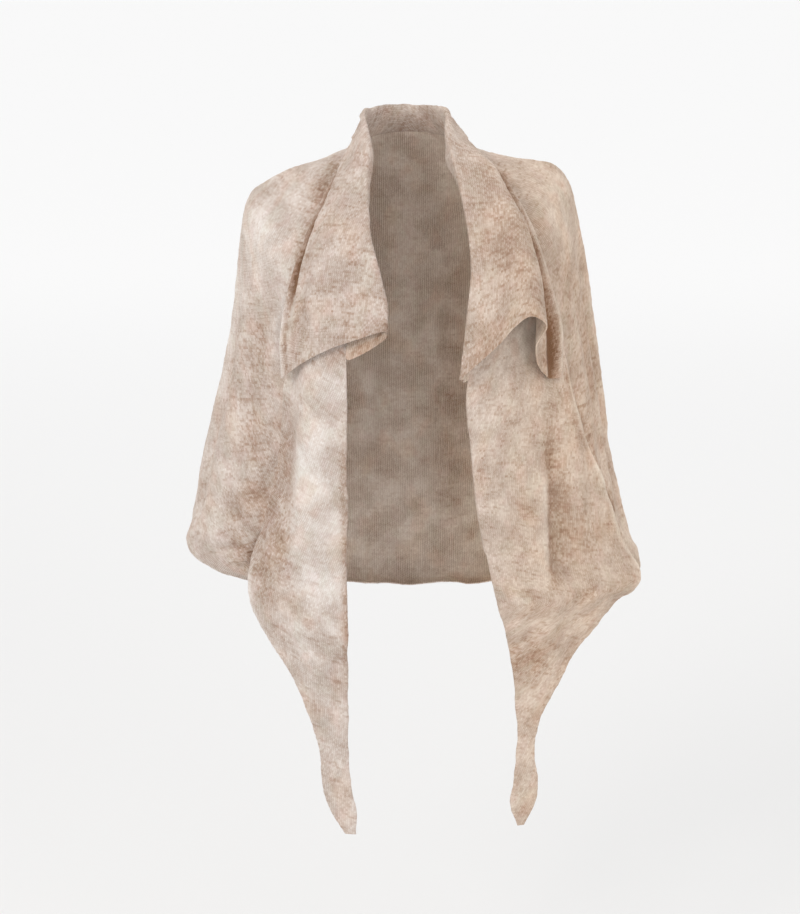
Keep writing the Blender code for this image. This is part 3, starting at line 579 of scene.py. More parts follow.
def addCloth(name, points, normals, uv, tone, napDensity):
    height, width = points.shape[:2]
    count = height * width
    crossing = np.cross(points[1:, 1:] - points[:-1, :-1], points[1:, :-1] - points[:-1, 1:])
    area = np.linalg.norm(crossing, axis=-1).sum() / 2
    half = cloth["wall"] / 2
    vertices = np.concatenate([(points + normals * half).reshape(-1, 3),
                               (points - normals * half).reshape(-1, 3)])
    index = np.arange(count).reshape(height, width)
    a, b = index[:-1, :-1].ravel(), index[1:, :-1].ravel()
    c, d = index[1:, 1:].ravel(), index[:-1, 1:].ravel()
    outer = np.stack([a, b, c, d], axis=1)
    inner = np.stack([a, d, c, b], axis=1) + count
    rim = np.concatenate([index[0, :-1], index[:-1, -1], index[-1, :0:-1], index[:0:-1, 0]])
    nextRim = np.roll(rim, -1)
    sides = np.stack([rim, nextRim, nextRim + count, rim + count], axis=1)
    faces = np.concatenate([outer, inner, sides])
    if signedVolume(vertices, faces) < 0:
        faces = faces[:, ::-1]
    mesh = bpy.data.meshes.new(name)
    mesh.vertices.add(len(vertices))
    mesh.vertices.foreach_set("co", vertices.astype(np.float32).ravel())
    mesh.loops.add(faces.size)
    mesh.loops.foreach_set("vertex_index", faces.astype(np.int32).ravel())
    mesh.polygons.add(len(faces))
    mesh.polygons.foreach_set("loop_start", np.arange(0, faces.size, 4, dtype=np.int32))
    mesh.update(calc_edges=True)
    mesh.validate()
    knitUv = mesh.uv_layers.new(name="knit")
    both = np.concatenate([np.stack([uv[0].ravel(), uv[1].ravel()], axis=1)] * 2)
    loopVertices = np.zeros(len(mesh.loops), np.int32)
    mesh.loops.foreach_get("vertex_index", loopVertices)
    knitUv.data.foreach_set("uv", both[loopVertices].astype(np.float32).ravel())
    reverse = mesh.attributes.new("reverse", "FLOAT", "POINT")
    reverse.data.foreach_set("value", np.repeat([0.0, 1.0], count).astype(np.float32))
    # the painted light and shade of the patches, creases, seams and valleys
    shade = mesh.attributes.new("tone", "FLOAT", "POINT")
    shade.data.foreach_set("value", np.tile(tone.ravel(), 2).astype(np.float32))
    # a warm tint painted as shade, rising across towards the side turned from the light
    warmth = mesh.attributes.new("warmth", "FLOAT", "POINT")
    warmth.data.foreach_set(
        "value", smoothStep(vertices[:, 0], shadedSideWarmth["from"], shadedSideWarmth["to"]).astype(np.float32))
    nap = mesh.attributes.new("napDensity", "FLOAT", "POINT")
    nap.data.foreach_set("value", np.tile(napDensity.ravel(), 2).astype(np.float32))
    mesh.shade_smooth()
    mesh.set_sharp_from_angle(angle=math.radians(55))
    piece = bpy.data.objects.new(name, mesh)
    bpy.context.scene.collection.objects.link(piece)
    print(name, len(faces) * 2, "triangles,", round(area, 3), "square metres")
    return piece


def signedVolume(vertices, faces):
    p = vertices[faces]
    first = np.einsum("ij,ij->i", p[:, 0], np.cross(p[:, 1], p[:, 2])).sum()
    second = np.einsum("ij,ij->i", p[:, 0], np.cross(p[:, 2], p[:, 3])).sum()
    return (first + second) / 6


def spread(first, last, cells):
    share = np.linspace(0.0, 1.0, cells + 1)
    return first[:, None] + (last - first)[:, None] * share[None, :]


def sectionSteps(first, last):
    return np.linspace(first, last, round((last - first) * cloth["rowsPerSection"]) + 1)


# a piece's surface with its folds, creases and unevenness
def drapedGrid(name, side, t, angles, seamColumn, lean=False):
    rows = np.broadcast_to(t[:, None], angles.shape)
    points = side.point(rows, angles)
    outward = side.directions(side.point, rows, angles)[0]
    crease = creaseHeights(points, outward)
    fromSeam = np.linalg.norm(points - points[:, seamColumn:][:, :1], axis=-1)
    seamHeight, seamLightAndShade = seamShares(name, t, fromSeam)
    height = crease + seamHeight + unevenHeights(points)
    tone = paintedBodyShade(points, outward, crease) + seamLightAndShade
    if lean:
        points = points + slitLean(side, rows, angles)
    points = points + outward * height[..., None]
    return points, gridNormals(points, outward), tone


# nap grows thicker towards the edges that show against the light
def edgeNap(points, strength, reach, edges):
    height, width = points.shape[:2]
    nap = np.ones((height, width))
    along = np.linalg.norm(np.diff(points, axis=1), axis=-1)
    fromFirst = np.concatenate([np.zeros((height, 1)), np.cumsum(along, axis=1)], axis=1)
    if "first" in edges:
        nap += strength * np.exp(-fromFirst / reach)
    if "last" in edges:
        nap += strength * np.exp(-(fromFirst[:, -1:] - fromFirst) / reach)
    return nap


frontPiece = {"knitTurn": {"right": 75, "left": 112}, "offset": {"right": 0.0, "left": 3.1}}


def makeFront(name):
    side = fronts[name]
    t = sectionSteps(0, side.lastSection)
    last = side.moveAlong(t, side.frontSeamAngle(t), -cloth["seamGap"] / 2)
    angles = spread(side.edgeAngle(t), last, cloth["frontCells"])
    points, normals, tone = drapedGrid(name + "Front", side, t, angles, -1)
    tip = smoothStep(side.lastSection - t, 0.0, 1.2) * 0.75 + 0.25
    openEdge = smoothStep(t, collarEnd + 0.1, collarEnd + 0.7) * tip
    slitEdge = smoothStep(t, slit["top"], slit["top"] + 0.8) * tip
    uv = knitCoordinates(points, frontPiece["knitTurn"][name], frontPiece["offset"][name])
    points, normals = withCurl(points, normals, openEdge, slitEdge)
    uv = [np.pad(c, ((0, 0), (curl["steps"], curl["steps"])), mode="reflect", reflect_type="odd") for c in uv]
    tone = np.pad(tone, ((0, 0), (curl["steps"], curl["steps"])), mode="edge")
    nap = edgeNap(points, 2.5, 0.012, ("first", "last"))
    return addCloth(name + "Front", points, normals, uv, tone, nap)


sleevePiece = {"knitTurn": {"right": 123, "left": 100}, "offset": {"right": 1.3, "left": 4.7}}


def makeSleeve(name):
    side = hulls[name]
    t = sectionSteps(0, hemSection)
    first = side.moveAlong(t, side.frontSeamAngle(t), cloth["seamGap"] / 2)
    last = side.moveAlong(t, side.backSeamAngle(t), -cloth["seamGap"] / 2)
    angles = spread(first, last, cloth["sleeveCells"])
    points, normals, tone = drapedGrid(name + "Sleeve", side, t, angles, 0, lean=True)
    uv = knitCoordinates(points, sleevePiece["knitTurn"][name], sleevePiece["offset"][name])
    nap = edgeNap(points, 1.0, 0.012, ("first",))
    return addCloth(name + "Sleeve", points, normals, uv, tone, nap)


def makeBack():
    t = sectionSteps(0, hemSection)
    halves = []
    for name in ("right", "left"):
        side = hulls[name]
        first = side.moveAlong(t, side.backSeamAngle(t), cloth["seamGap"] / 2)
        angles = spread(first, np.full_like(t, 90.0), cloth["backHalfCells"])
        if name == "left":
            angles = angles[:, -2::-1]
        rows = np.broadcast_to(t[:, None], angles.shape)
        halves.append((side.point(rows, angles), side.directions(side.point, rows, angles)[0]))
    points, outward = (np.concatenate(pair, axis=1) for pair in zip(*halves))
    crease = creaseHeights(points, outward)
    tone = paintedBodyShade(points, outward, crease)
    points = points + outward * (crease + unevenHeights(points))[..., None]
    normals = gridNormals(points, outward)
    uv = knitCoordinates(points, 90, 7.7)
    return addCloth("backPanel", points, normals, uv, tone, edgeNap(points, 0.0, 0.01, ()))


def collarValue(name, columnName, station):
    rows = collarStations[name]
    values = column(rows, collarColumns, columnName)
    mirrored = values[-2:-1] * (-1 if columnName.endswith("X") else 1)
    return smoothCurve(np.concatenate([values, mirrored]), rows[0][0] - station)


def collarPlaces(name):
    side = hulls[name]
    t = sectionSteps(0, collarEnd)[::-1]
    stations, sections, angles = list(t), list(t), list(side.edgeAngle(t))
    zero = np.zeros(1)
    ends = [side.edgeAngle(zero)[0], side.frontSeamAngle(zero)[0], 0.0, side.backSeamAngle(zero)[0], 90.0]
    for i in range(4):
        cells = cloth["napeCells"] if i == 3 else cloth["neckCells"]
        for k in range(1, cells + 1):
            stations.append(-i - k / cells)
            sections.append(0.0)
            angles.append(ends[i] + (ends[i + 1] - ends[i]) * k / cells)
    return np.array(stations), np.array(sections), np.array(angles)


# the collar's cross sections, from the seam over the rolled fold to the free edge
def collarHalf(name):
    side = hulls[name]
    sign = side.sign
    station, t, angle = collarPlaces(name)
    seam = side.point(t, angle)
    outward, roundWay, downWay = side.directions(side.point, t, angle)
    inwardWay = unit(-unit(roundWay) - outward * (-unit(roundWay) * outward).sum(axis=-1, keepdims=True))
    turned = smoothStep(station, -0.25, 0.35)[:, None]
    leave = unit(inwardWay * turned - downWay * (1 - turned))
    roll, free = (
        np.stack([sign * collarValue(name, end + "X", station), collarValue(name, end + "Y", station),
                  collarValue(name, end + "Z", station)], axis=-1)
        for end in ("roll", "free")
    )
    wave = collarValue(name, "wave", station)[:, None]
    start = seam + leave * cloth["seamGap"]
    run = start + leave * collarFold["seamRun"]
    bowShare = (np.clip((station + 1) / 3, 0.0, 1.0) * collarFold["lapelBow"])[:, None]
    turnDown = []
    inset, valley = (collarValue(name, end, station)[:, None] for end in ("valleyInset", "valleyDepth"))
    lowest = 1 - inset / np.linalg.norm(free - roll, axis=-1, keepdims=True)
    for row in wavePoints:
        point = dict(zip(waveColumns, row))
        along = point["along"] * lowest / collarFold["waveEnd"]
        shift = np.array([sign * point["outward"], -point["forward"], point["up"]]) * wave
        turnDown.append((roll + (free - roll) * along + shift, bowShare * 4 * along * (1 - along)))
    turnDown.append((roll + (free - roll) * lowest, bowShare * 4 * lowest * (1 - lowest) - valley))
    apexWay = unit(roll - (run + turnDown[0][0]) / 2)
    across = turnDown[0][0] - run
    across = unit(across - apexWay * (across * apexWay).sum(axis=-1, keepdims=True))
    radius = collarFold["rollRadius"]
    inside = roll - (apexWay + across) * radius
    outside = roll - (apexWay - across) * radius
    points = [start, run, (run + inside) / 2 - across * collarFold["standLean"], inside, roll, outside]
    points += [base + across * bow for base, bow in turnDown]
    points.append(free)
    return evenColumns(np.stack(points), cloth["collarCells"]), station


def evenColumns(points, cells):
    dense = smoothCurve(points, np.linspace(0, len(points) - 1, (len(points) - 1) * 16 + 1))
    result = []
    for k in range(dense.shape[1]):
        line = dense[:, k]
        length = np.concatenate([[0.0], np.cumsum(np.linalg.norm(np.diff(line, axis=0), axis=-1))])
        want = np.linspace(0, length[-1], cells + 1)
        result.append(np.stack([np.interp(want, length, line[:, axis]) for axis in range(3)], axis=-1))
    return np.array(result)


# The collar's own creases: station and distance from the free edge at both ends, half width and height.
collarCreaseColumns = ("side", "fromStation", "fromInset", "toStation", "toInset", "width", "height")
collarCreases = (
    ("right", 5.3, 0.006, 3.2, 0.008, 0.0040, -0.0016),
    ("right", 5.0, 0.075, 1.0, 0.034, 0.0160, 0.0026),
    ("right", 4.6, 0.045, 2.4, 0.030, 0.0110, -0.0022),
    ("right", 5.0, 0.120, 2.0, 0.075, 0.0140, -0.0024),
    ("right", 3.0, 0.090, 0.2, 0.050, 0.0120, 0.0020),
    ("left", 4.2, 0.120, 1.2, 0.055, 0.0140, 0.0022),
    ("left", 3.4, 0.070, 0.6, 0.036, 0.0100, -0.0020),
    ("left", 2.6, 0.110, -0.6, 0.060, 0.0120, -0.0018),
)
# Its painted light and shade, laid out the same way: pale lines along the free edge, and dark strokes for the
# shade of the valley, the hollows and the turned-under end. The last value is how much paler they are.
collarLightAndShade = (
    ("right", 5.4, 0.000, 2.5, 0.000, 0.0024, 1.00),
    ("right", 5.0, 0.007, 3.0, 0.009, 0.0040, -0.50),
    ("right", 5.6, 0.205, 4.4, 0.205, 0.0500, -1.30),
    ("right", 4.8, 0.014, 3.0, 0.014, 0.0060, 0.90),
    ("right", 3.4, 0.090, 2.0, 0.070, 0.0250, 0.15),
    ("left", 5.4, 0.000, 0.2, 0.000, 0.0024, 1.20),
    ("left", 5.5, 0.055, 4.4, 0.050, 0.0200, -0.20),
    ("left", 4.4, 0.130, 1.0, 0.080, 0.0450, -0.20),
    ("left", 5.3, 0.260, 4.6, 0.230, 0.0400, -0.70),
)
# what sharpens the valley: how far from its middle, half width, height and tone of its bed, flank and brow.
# The dark tones of the bed and the flank are painted shade.
valleyParts = (
    (0.0, 0.0046, -0.0018, -2.9),
    (-0.008, 0.0085, 0.0, -1.5),
    (0.009, 0.0065, 0.0028, 0.0),
)
# edgeRoll is how strongly the free edge curls: pairs of station and share
collarPiece = {
    "knitTurn": 107,
    "offset": 9.3,
    "fullValley": 0.007,
    "valleyEnds": {"right": 3.6, "left": 6.4},      # the station where the valley has faded out
    "edgeRoll": {
        "right": ((-4, 0.6), (-2.2, 0.4), (-1.2, 0.25), (2.4, 0.3), (3.3, 0.8), (5, 0.8)),
        "left": ((-4, 0.6), (-2.2, 0.4), (-1.2, 0.3), (0.4, 0.4), (1.6, 0.8), (5, 0.8)),
    },
}


# the valley's height, and the painted shade of its bed and flank
def valleyStrokes(name, station, points):
    length = np.linalg.norm(np.diff(points, axis=1), axis=-1)
    run = np.concatenate([np.zeros((len(points), 1)), np.cumsum(length, axis=1)], axis=1)
    fromEdge = run[:, -1:] - run - collarValue(name, "valleyInset", station)[:, None]
    strength = np.clip(
        collarValue(name, "valleyDepth", station)[:, None] / collarPiece["fullValley"], 0.0, 1.0)
    strength = strength * smoothStep(collarPiece["valleyEnds"][name] - station, 0.0, 1.2)[:, None]
    shapes = [(h, tone, strength * np.exp(-((fromEdge - away) / width) ** 2))
              for away, width, h, tone in valleyParts]
    return sum(h * share for h, tone, share in shapes), sum(tone * share for h, tone, share in shapes)


# soft strokes laid along the collar, summed up
def collarStrokes(name, rows, station, points):
    length = np.linalg.norm(np.diff(points, axis=1), axis=-1)
    run = np.concatenate([np.zeros((len(points), 1)), np.cumsum(length, axis=1)], axis=1)
    total = np.zeros(points.shape[:2])
    for row in rows:
        stroke = dict(zip(collarCreaseColumns, row))
        if stroke["side"] != name:
            continue
        first, last = stroke["fromStation"], stroke["toStation"]
        part = (station - first) / (last - first)
        inset = stroke["fromInset"] + (stroke["toInset"] - stroke["fromInset"]) * part
        aside = run[:, -1:] - run - inset[:, None]
        ends = smoothStep(part, -0.2, 0.25) * smoothStep(1 - part, -0.05, 0.35)
        total += stroke["height"] * ends[:, None] * np.exp(-(aside / stroke["width"]) ** 2)
    return total


def makeCollar():
    rows, tones, rolls = [], [], []
    for name in ("right", "left"):
        points, station = collarHalf(name)
        roll = np.interp(station, *zip(*collarPiece["edgeRoll"][name]))
        normals = gridNormals(points, points * 0 + np.array([0.0, 0.0, 1.0]))
        fold = round(0.35 * points.shape[1])
        if normals[len(points) // 2, fold][2] < 0:
            normals = -normals
        shown = smoothStep(np.linspace(0, 1, points.shape[1]), 0.05, 0.25)[None, :]
        crease = collarStrokes(name, collarCreases, station, points)
        # the collar's painted light and shade: its own strokes, paler crests and darker troughs, and the
        # whole collar darkened as painted shade
        tone = (collarStrokes(name, collarLightAndShade, station, points)
                + crease * paintedShadeAmounts["perMetre"] + paintedShadeAmounts["collar"])
        valley, valleyShade = valleyStrokes(name, station, points)
        tone += valleyShade
        height = crease + valley + unevenHeights(points + np.array([0.3, 0.0, 0.0])) * 0.8
        points = points + normals * (height * shown)[..., None]
        rows.append(points if name == "right" else points[-2::-1])
        tones.append(tone if name == "right" else tone[-2::-1])
        rolls.append(roll if name == "right" else roll[-2::-1])
    points = np.concatenate(rows)
    tone = np.concatenate(tones)
    normals = gridNormals(points, points * 0 + np.array([0.0, 0.0, 1.0]))
    uv = knitCoordinates(points, collarPiece["knitTurn"], collarPiece["offset"])
    points, normals = withCurl(points, normals, None, np.concatenate(rolls))
    uv = [np.pad(c, ((0, 0), (0, curl["steps"])), mode="reflect", reflect_type="odd") for c in uv]
    tone = np.pad(tone, ((0, 0), (0, curl["steps"])), mode="edge")
    nap = edgeNap(points, 2.5, 0.012, ("last",))
    return addCloth("foldedCollar", points, normals, uv, tone, nap)


# shader building blocks
def toLinear(red, green, blue):
    values = [c / 255 for c in (red, green, blue)]
    return tuple(c / 12.92 if c <= 0.04045 else ((c + 0.055) / 1.055) ** 2.4 for c in values) + (1.0,)


class Nodes:
    def __init__(self, tree):
        self.tree = tree
        self.column = 0

    def add(self, kind, settings=None, **inputs):
        node = self.tree.nodes.new(kind)
        node.location = (self.column * 180 - 1400, -(self.column % 4) * 160)
        self.column += 1
        for key, value in (settings or {}).items():
            setattr(node, key, value)
        for key, value in inputs.items():
            socket = node.inputs[int(key[1:])] if key[0] == "i" and key[1:].isdigit() else node.inputs[key]
            if isinstance(value, bpy.types.NodeSocket):
                self.tree.links.new(value, socket)
            else:
                socket.default_value = value
        return node

    def math(self, operation, a, b=0.0, c=0.0):
        return self.add("ShaderNodeMath", {"operation": operation}, i0=a, i1=b, i2=c).outputs[0]

    def noise(self, vector, scale, detail=2.0, roughness=0.5):
        node = self.add("ShaderNodeTexNoise", {"noise_dimensions": "3D"}, Vector=vector, Scale=scale,
                        Detail=detail,
                        Roughness=roughness)
        return node.outputs["Fac"]

    def ramp(self, value, low, high, fromValue=0.0, toValue=1.0):
        node = self.add("ShaderNodeMapRange", {"interpolation_type": "SMOOTHSTEP"}, i0=value, i1=low, i2=high,
                        i3=fromValue, i4=toValue)
        return node.outputs[0]

    def mix(self, share, a, b, blend="MIX"):
        node = self.add("ShaderNodeMix", {"data_type": "RGBA", "blend_type": blend})
        for socket, value in zip((node.inputs[0], node.inputs[6], node.inputs[7]), (share, a, b)):
            if isinstance(value, bpy.types.NodeSocket):
                self.tree.links.new(value, socket)
            else:
                socket.default_value = value
        return node.outputs[2]


def newGroup(name, inputs, outputs):
    tree = bpy.data.node_groups.new(name, "ShaderNodeTree")
    for socketName, kind, value in inputs:
        socket = tree.interface.new_socket(socketName, in_out="INPUT", socket_type=kind)
        if value is not None:
            socket.default_value = value
    for socketName, kind in outputs:
        tree.interface.new_socket(socketName, in_out="OUTPUT", socket_type=kind)
    return tree


# tones of the yarn, from the darkest to the palest, how much each grain of the heather varies it, and how far
# the painted light and shade move it
yarnTones = (
    (0.00, (138, 107, 83)),
    (0.28, (185, 163, 148)),
    (0.50, (212, 199, 190)),
    (0.72, (228, 220, 214)),
    (1.00, (243, 240, 237)),
)
yarnGrain = {"cloud": 0.19, "patch": 0.20, "slub": 0.13, "streak": 0.24, "stitch": 0.24,
             "middle": 0.575, "paintedShadeShare": 0.28, "tint": 0.6}
# faint tints of the heather: how many waves a metre, and the tint
yarnTints = ((19.0, (255, 247, 239)), (27.0, (247, 250, 246)), (38.0, (252, 246, 248)))


# cloudy colour of the brushed yarn, with streaks that follow the rows of stitches
def heatherGroup():
    inputs = [("Vector", "NodeSocketVector", None), ("Tone", "NodeSocketFloat", 0.0),
              ("Grain", "NodeSocketFloat", 1.0),
              ("Warmth", "NodeSocketFloat", 0.0)]
    tree = newGroup("heatheredYarn", inputs, [("Color", "NodeSocketColor")])
    nodes = Nodes(tree)
    source = nodes.add("NodeGroupInput")
    vector = source.outputs["Vector"]
    wide = nodes.add("ShaderNodeMapping", Vector=vector, Scale=(1.0, 1.4, 1.0)).outputs[0]
    strands = nodes.add("ShaderNodeMapping", Vector=vector, Scale=(1.0, 1.6, 1.0)).outputs[0]
    perStitch = nodes.add("ShaderNodeMapping", Vector=vector,
                          Scale=(1 / stitch["wale"], 1 / stitch["course"], 1.0))
    whole = nodes.add("ShaderNodeVectorMath", {"operation": "FLOOR"}, i0=perStitch.outputs[0]).outputs[0]
    single = nodes.add("ShaderNodeTexWhiteNoise", {"noise_dimensions": "3D"}, Vector=whole).outputs["Value"]
    # the painted light and shade move the yarn along its tones
    total = nodes.math("MULTIPLY_ADD", source.outputs["Tone"], yarnGrain["paintedShadeShare"], yarnGrain["middle"])
    grains = nodes.math("MULTIPLY", nodes.math("SUBTRACT", nodes.noise(wide, 24.0, 3.0, 0.55), 0.5),
                        yarnGrain["cloud"])
    for value, share in ((nodes.noise(wide, 90.0, 2.0, 0.5), yarnGrain["patch"]),
                         (nodes.noise(strands, 330.0, 2.0, 0.6), yarnGrain["streak"]),
                         (single, yarnGrain["stitch"])):
        grains = nodes.math("MULTIPLY_ADD", nodes.math("SUBTRACT", value, 0.5), share, grains)
    rows = nodes.add("ShaderNodeMapping", Vector=vector, Scale=(5.0, 1.0, 1.0)).outputs[0]
    slubs = nodes.ramp(nodes.noise(rows, 30.0, 1.0, 0.5), 0.50, 0.72, 0.0, -yarnGrain["slub"])
    grains = nodes.math("ADD", grains, slubs)
    total = nodes.math("MULTIPLY_ADD", grains, source.outputs["Grain"], total)
    tones = nodes.add("ShaderNodeValToRGB", Fac=total)
    setRamp(tones.color_ramp, yarnTones)
    tinted = tones.outputs[0]
    for scale, tint in yarnTints:
        share = nodes.ramp(nodes.noise(wide, scale, 2.0, 0.5), 0.48, 0.68, 0.0, yarnGrain["tint"])
        tinted = nodes.mix(share, tinted, toLinear(*tint), blend="MULTIPLY")
    # a warm tint painted as shade on the side turned from the light
    paintedWarmShade = nodes.math("MULTIPLY", source.outputs["Warmth"], shadedSideWarmth["share"])
    tinted = nodes.mix(paintedWarmShade, tinted, toLinear(*shadedSideWarmth["tint"]), blend="MULTIPLY")
    nodes.add("NodeGroupOutput", Color=tinted)
    return tree


def setRamp(ramp, tones):
    while len(ramp.elements) < len(tones):
        ramp.elements.new(0.5)
    for element, (place, tone) in zip(ramp.elements, tones):
        element.position = place
        element.color = toLinear(*tone)


# shade is how strongly the hollows between stitches are darkened with painted shade, in the tint given after
# it
stitch = {"wale": 0.0034, "course": 0.0027, "slant": 0.55, "relief": 0.0006, "shade": 0.80,
          "hollow": (184, 164, 149)}


# stitches of the right side and bumps of the reverse, as height
def stitchGroup():
    tree = newGroup("stockingStitch", [("Vector", "NodeSocketVector", None),
                                       ("Reverse", "NodeSocketFloat", 0.0)],
                    [("Height", "NodeSocketFloat")])
    nodes = Nodes(tree)
    source = nodes.add("NodeGroupInput")
    wander = nodes.add("ShaderNodeTexNoise", {"noise_dimensions": "3D"}, Vector=source.outputs["Vector"],
                       Scale=140.0,
                       Detail=1.0)
    moved = nodes.add("ShaderNodeVectorMath", {"operation": "MULTIPLY_ADD"}, i0=wander.outputs["Color"],
                      i1=(0.0016, 0.0016, 0.0), i2=source.outputs["Vector"]).outputs[0]
    parts = nodes.add("ShaderNodeSeparateXYZ", i0=moved)
    wales = nodes.math("DIVIDE", parts.outputs[0], stitch["wale"])
    courses = nodes.math("DIVIDE", parts.outputs[1], stitch["course"])
    aside = nodes.math("ABSOLUTE", nodes.math("SUBTRACT", nodes.math("FRACT", wales), 0.5))
    slanted = nodes.math("MULTIPLY_ADD", aside, 2 * stitch["slant"], courses)
    yarnRow = nodes.math(
        "MULTIPLY_ADD", nodes.math("COSINE", nodes.math("MULTIPLY", slanted, 2 * math.pi)), 0.5, 0.5)
    leg = nodes.math("SINE", nodes.math("MULTIPLY", aside, 2 * math.pi))
    vStitch = nodes.math("MULTIPLY", leg, nodes.math("MULTIPLY_ADD", yarnRow, 0.65, 0.35))
    bumpRow = nodes.math(
        "MULTIPLY_ADD", nodes.math("COSINE", nodes.math("MULTIPLY", courses, 2 * math.pi)), 0.5, 0.5)
    shifted = nodes.math("MULTIPLY_ADD", nodes.math("FLOOR", courses), 0.5, wales)
    bumpAcross = nodes.math(
        "MULTIPLY_ADD", nodes.math("COSINE", nodes.math("MULTIPLY", shifted, 2 * math.pi)), 0.3, 0.7)
    purl = nodes.math("MULTIPLY", bumpRow, bumpAcross)
    blend = nodes.add("ShaderNodeMix", {"data_type": "FLOAT"}, i0=source.outputs["Reverse"], i2=vStitch,
                      i3=purl)
    nodes.add("NodeGroupOutput", Height=blend.outputs[0])
    return tree


# the reverse face, in shade inside the garment, is painted paler and warmer, as painted light
knitFinish = {"roughness": 0.93, "sheen": 0.35, "sheenRoughness": 0.45, "sheenTint": (244, 234, 222),
              "fuzzRelief": 0.0003, "stitchStrength": 0.85, "reversePaintedLight": 0.9,
              "reversePaintedWarmth": 0.6}


def knitMaterial(heather, stitches):
    material = bpy.data.materials.new("brushedKnit")
    material.use_nodes = True
    tree = material.node_tree
    tree.nodes.clear()
    nodes = Nodes(tree)
    knitUv = nodes.add("ShaderNodeUVMap", {"uv_map": "knit"}).outputs[0]
    reverse = nodes.add("ShaderNodeAttribute", {"attribute_name": "reverse"}).outputs["Fac"]
    tone = nodes.add("ShaderNodeAttribute", {"attribute_name": "tone"}).outputs["Fac"]
    # painted light and a warm tint on the reverse face, which lies in shade inside the garment
    tone = nodes.math("MULTIPLY_ADD", reverse, knitFinish["reversePaintedLight"], tone)
    warmth = nodes.add("ShaderNodeAttribute", {"attribute_name": "warmth"}).outputs["Fac"]
    warmth = nodes.math("MULTIPLY_ADD", reverse, knitFinish["reversePaintedWarmth"], warmth)
    yarn = nodes.add("ShaderNodeGroup", {"node_tree": heather}, Vector=knitUv, Tone=tone, Warmth=warmth)
    colour = yarn.outputs["Color"]
    height = nodes.add("ShaderNodeGroup", {"node_tree": stitches}, Vector=knitUv,
                       Reverse=reverse).outputs["Height"]
    shown = nodes.ramp(nodes.noise(knitUv, 22.0, 2.0), 0.35, 0.65, 0.45, 1.0)
    # the hollows between stitches darkened with painted shade
    depth = nodes.math("MULTIPLY", nodes.math("SUBTRACT", 1.0, height),
                       nodes.math("MULTIPLY", shown, stitch["shade"]))
    colour = nodes.mix(depth, colour, toLinear(*stitch["hollow"]), blend="MULTIPLY")
    fuzz = nodes.noise(nodes.add("ShaderNodeMapping", Vector=knitUv, Scale=(1.0, 1.3, 1.0)).outputs[0],
                       620.0, 2.0, 0.6)
    relief = nodes.math("MULTIPLY_ADD", nodes.math("MULTIPLY", height, shown), stitch["relief"],
                        nodes.math("MULTIPLY", fuzz, knitFinish["fuzzRelief"]))
    bump = nodes.add("ShaderNodeBump", Strength=knitFinish["stitchStrength"], Distance=1.0, Height=relief)
    shader = nodes.add("ShaderNodeBsdfPrincipled", **{"Base Color": colour, "Normal": bump.outputs[0]})
    setFinish(shader)
    nodes.add("ShaderNodeOutputMaterial", Surface=shader.outputs[0])
    return material


def setFinish(shader):
    shader.inputs["Roughness"].default_value = knitFinish["roughness"]
    shader.inputs["Specular IOR Level"].default_value = 0.25
    shader.inputs["Sheen Weight"].default_value = knitFinish["sheen"]
    shader.inputs["Sheen Roughness"].default_value = knitFinish["sheenRoughness"]
    shader.inputs["Sheen Tint"].default_value = toLinear(*knitFinish["sheenTint"])


# Loose fibres of the brushed nap: bent ribbons scattered over a cloth, lying down with it
nap = {
    "fibresPerSquareMetre": 10000.0,
    "length": 0.0042,
    "width": 0.00007,
    "paler": 0.2,
    "seed": 3,
}


def napMaterial(heather):
    material = bpy.data.materials.new("looseNap")
    material.use_nodes = True
    tree = material.node_tree
    tree.nodes.clear()
    nodes = Nodes(tree)
    place = nodes.add("ShaderNodeAttribute", {"attribute_name": "knit"}).outputs["Vector"]
    # the fibres take the cloth's painted light and shade, made a little paler
    tone = nodes.add("ShaderNodeAttribute", {"attribute_name": "tone"}).outputs["Fac"]
    tone = nodes.math("ADD", tone, nap["paler"])
    warmth = nodes.add("ShaderNodeAttribute", {"attribute_name": "warmth"}).outputs["Fac"]
    yarn = nodes.add("ShaderNodeGroup", {"node_tree": heather}, Vector=place, Tone=tone, Grain=0.7,
                     Warmth=warmth)
    colour = yarn.outputs["Color"]
    shader = nodes.add("ShaderNodeBsdfPrincipled", **{"Base Color": colour})
    setFinish(shader)
    nodes.add("ShaderNodeOutputMaterial", Surface=shader.outputs[0])
    return material


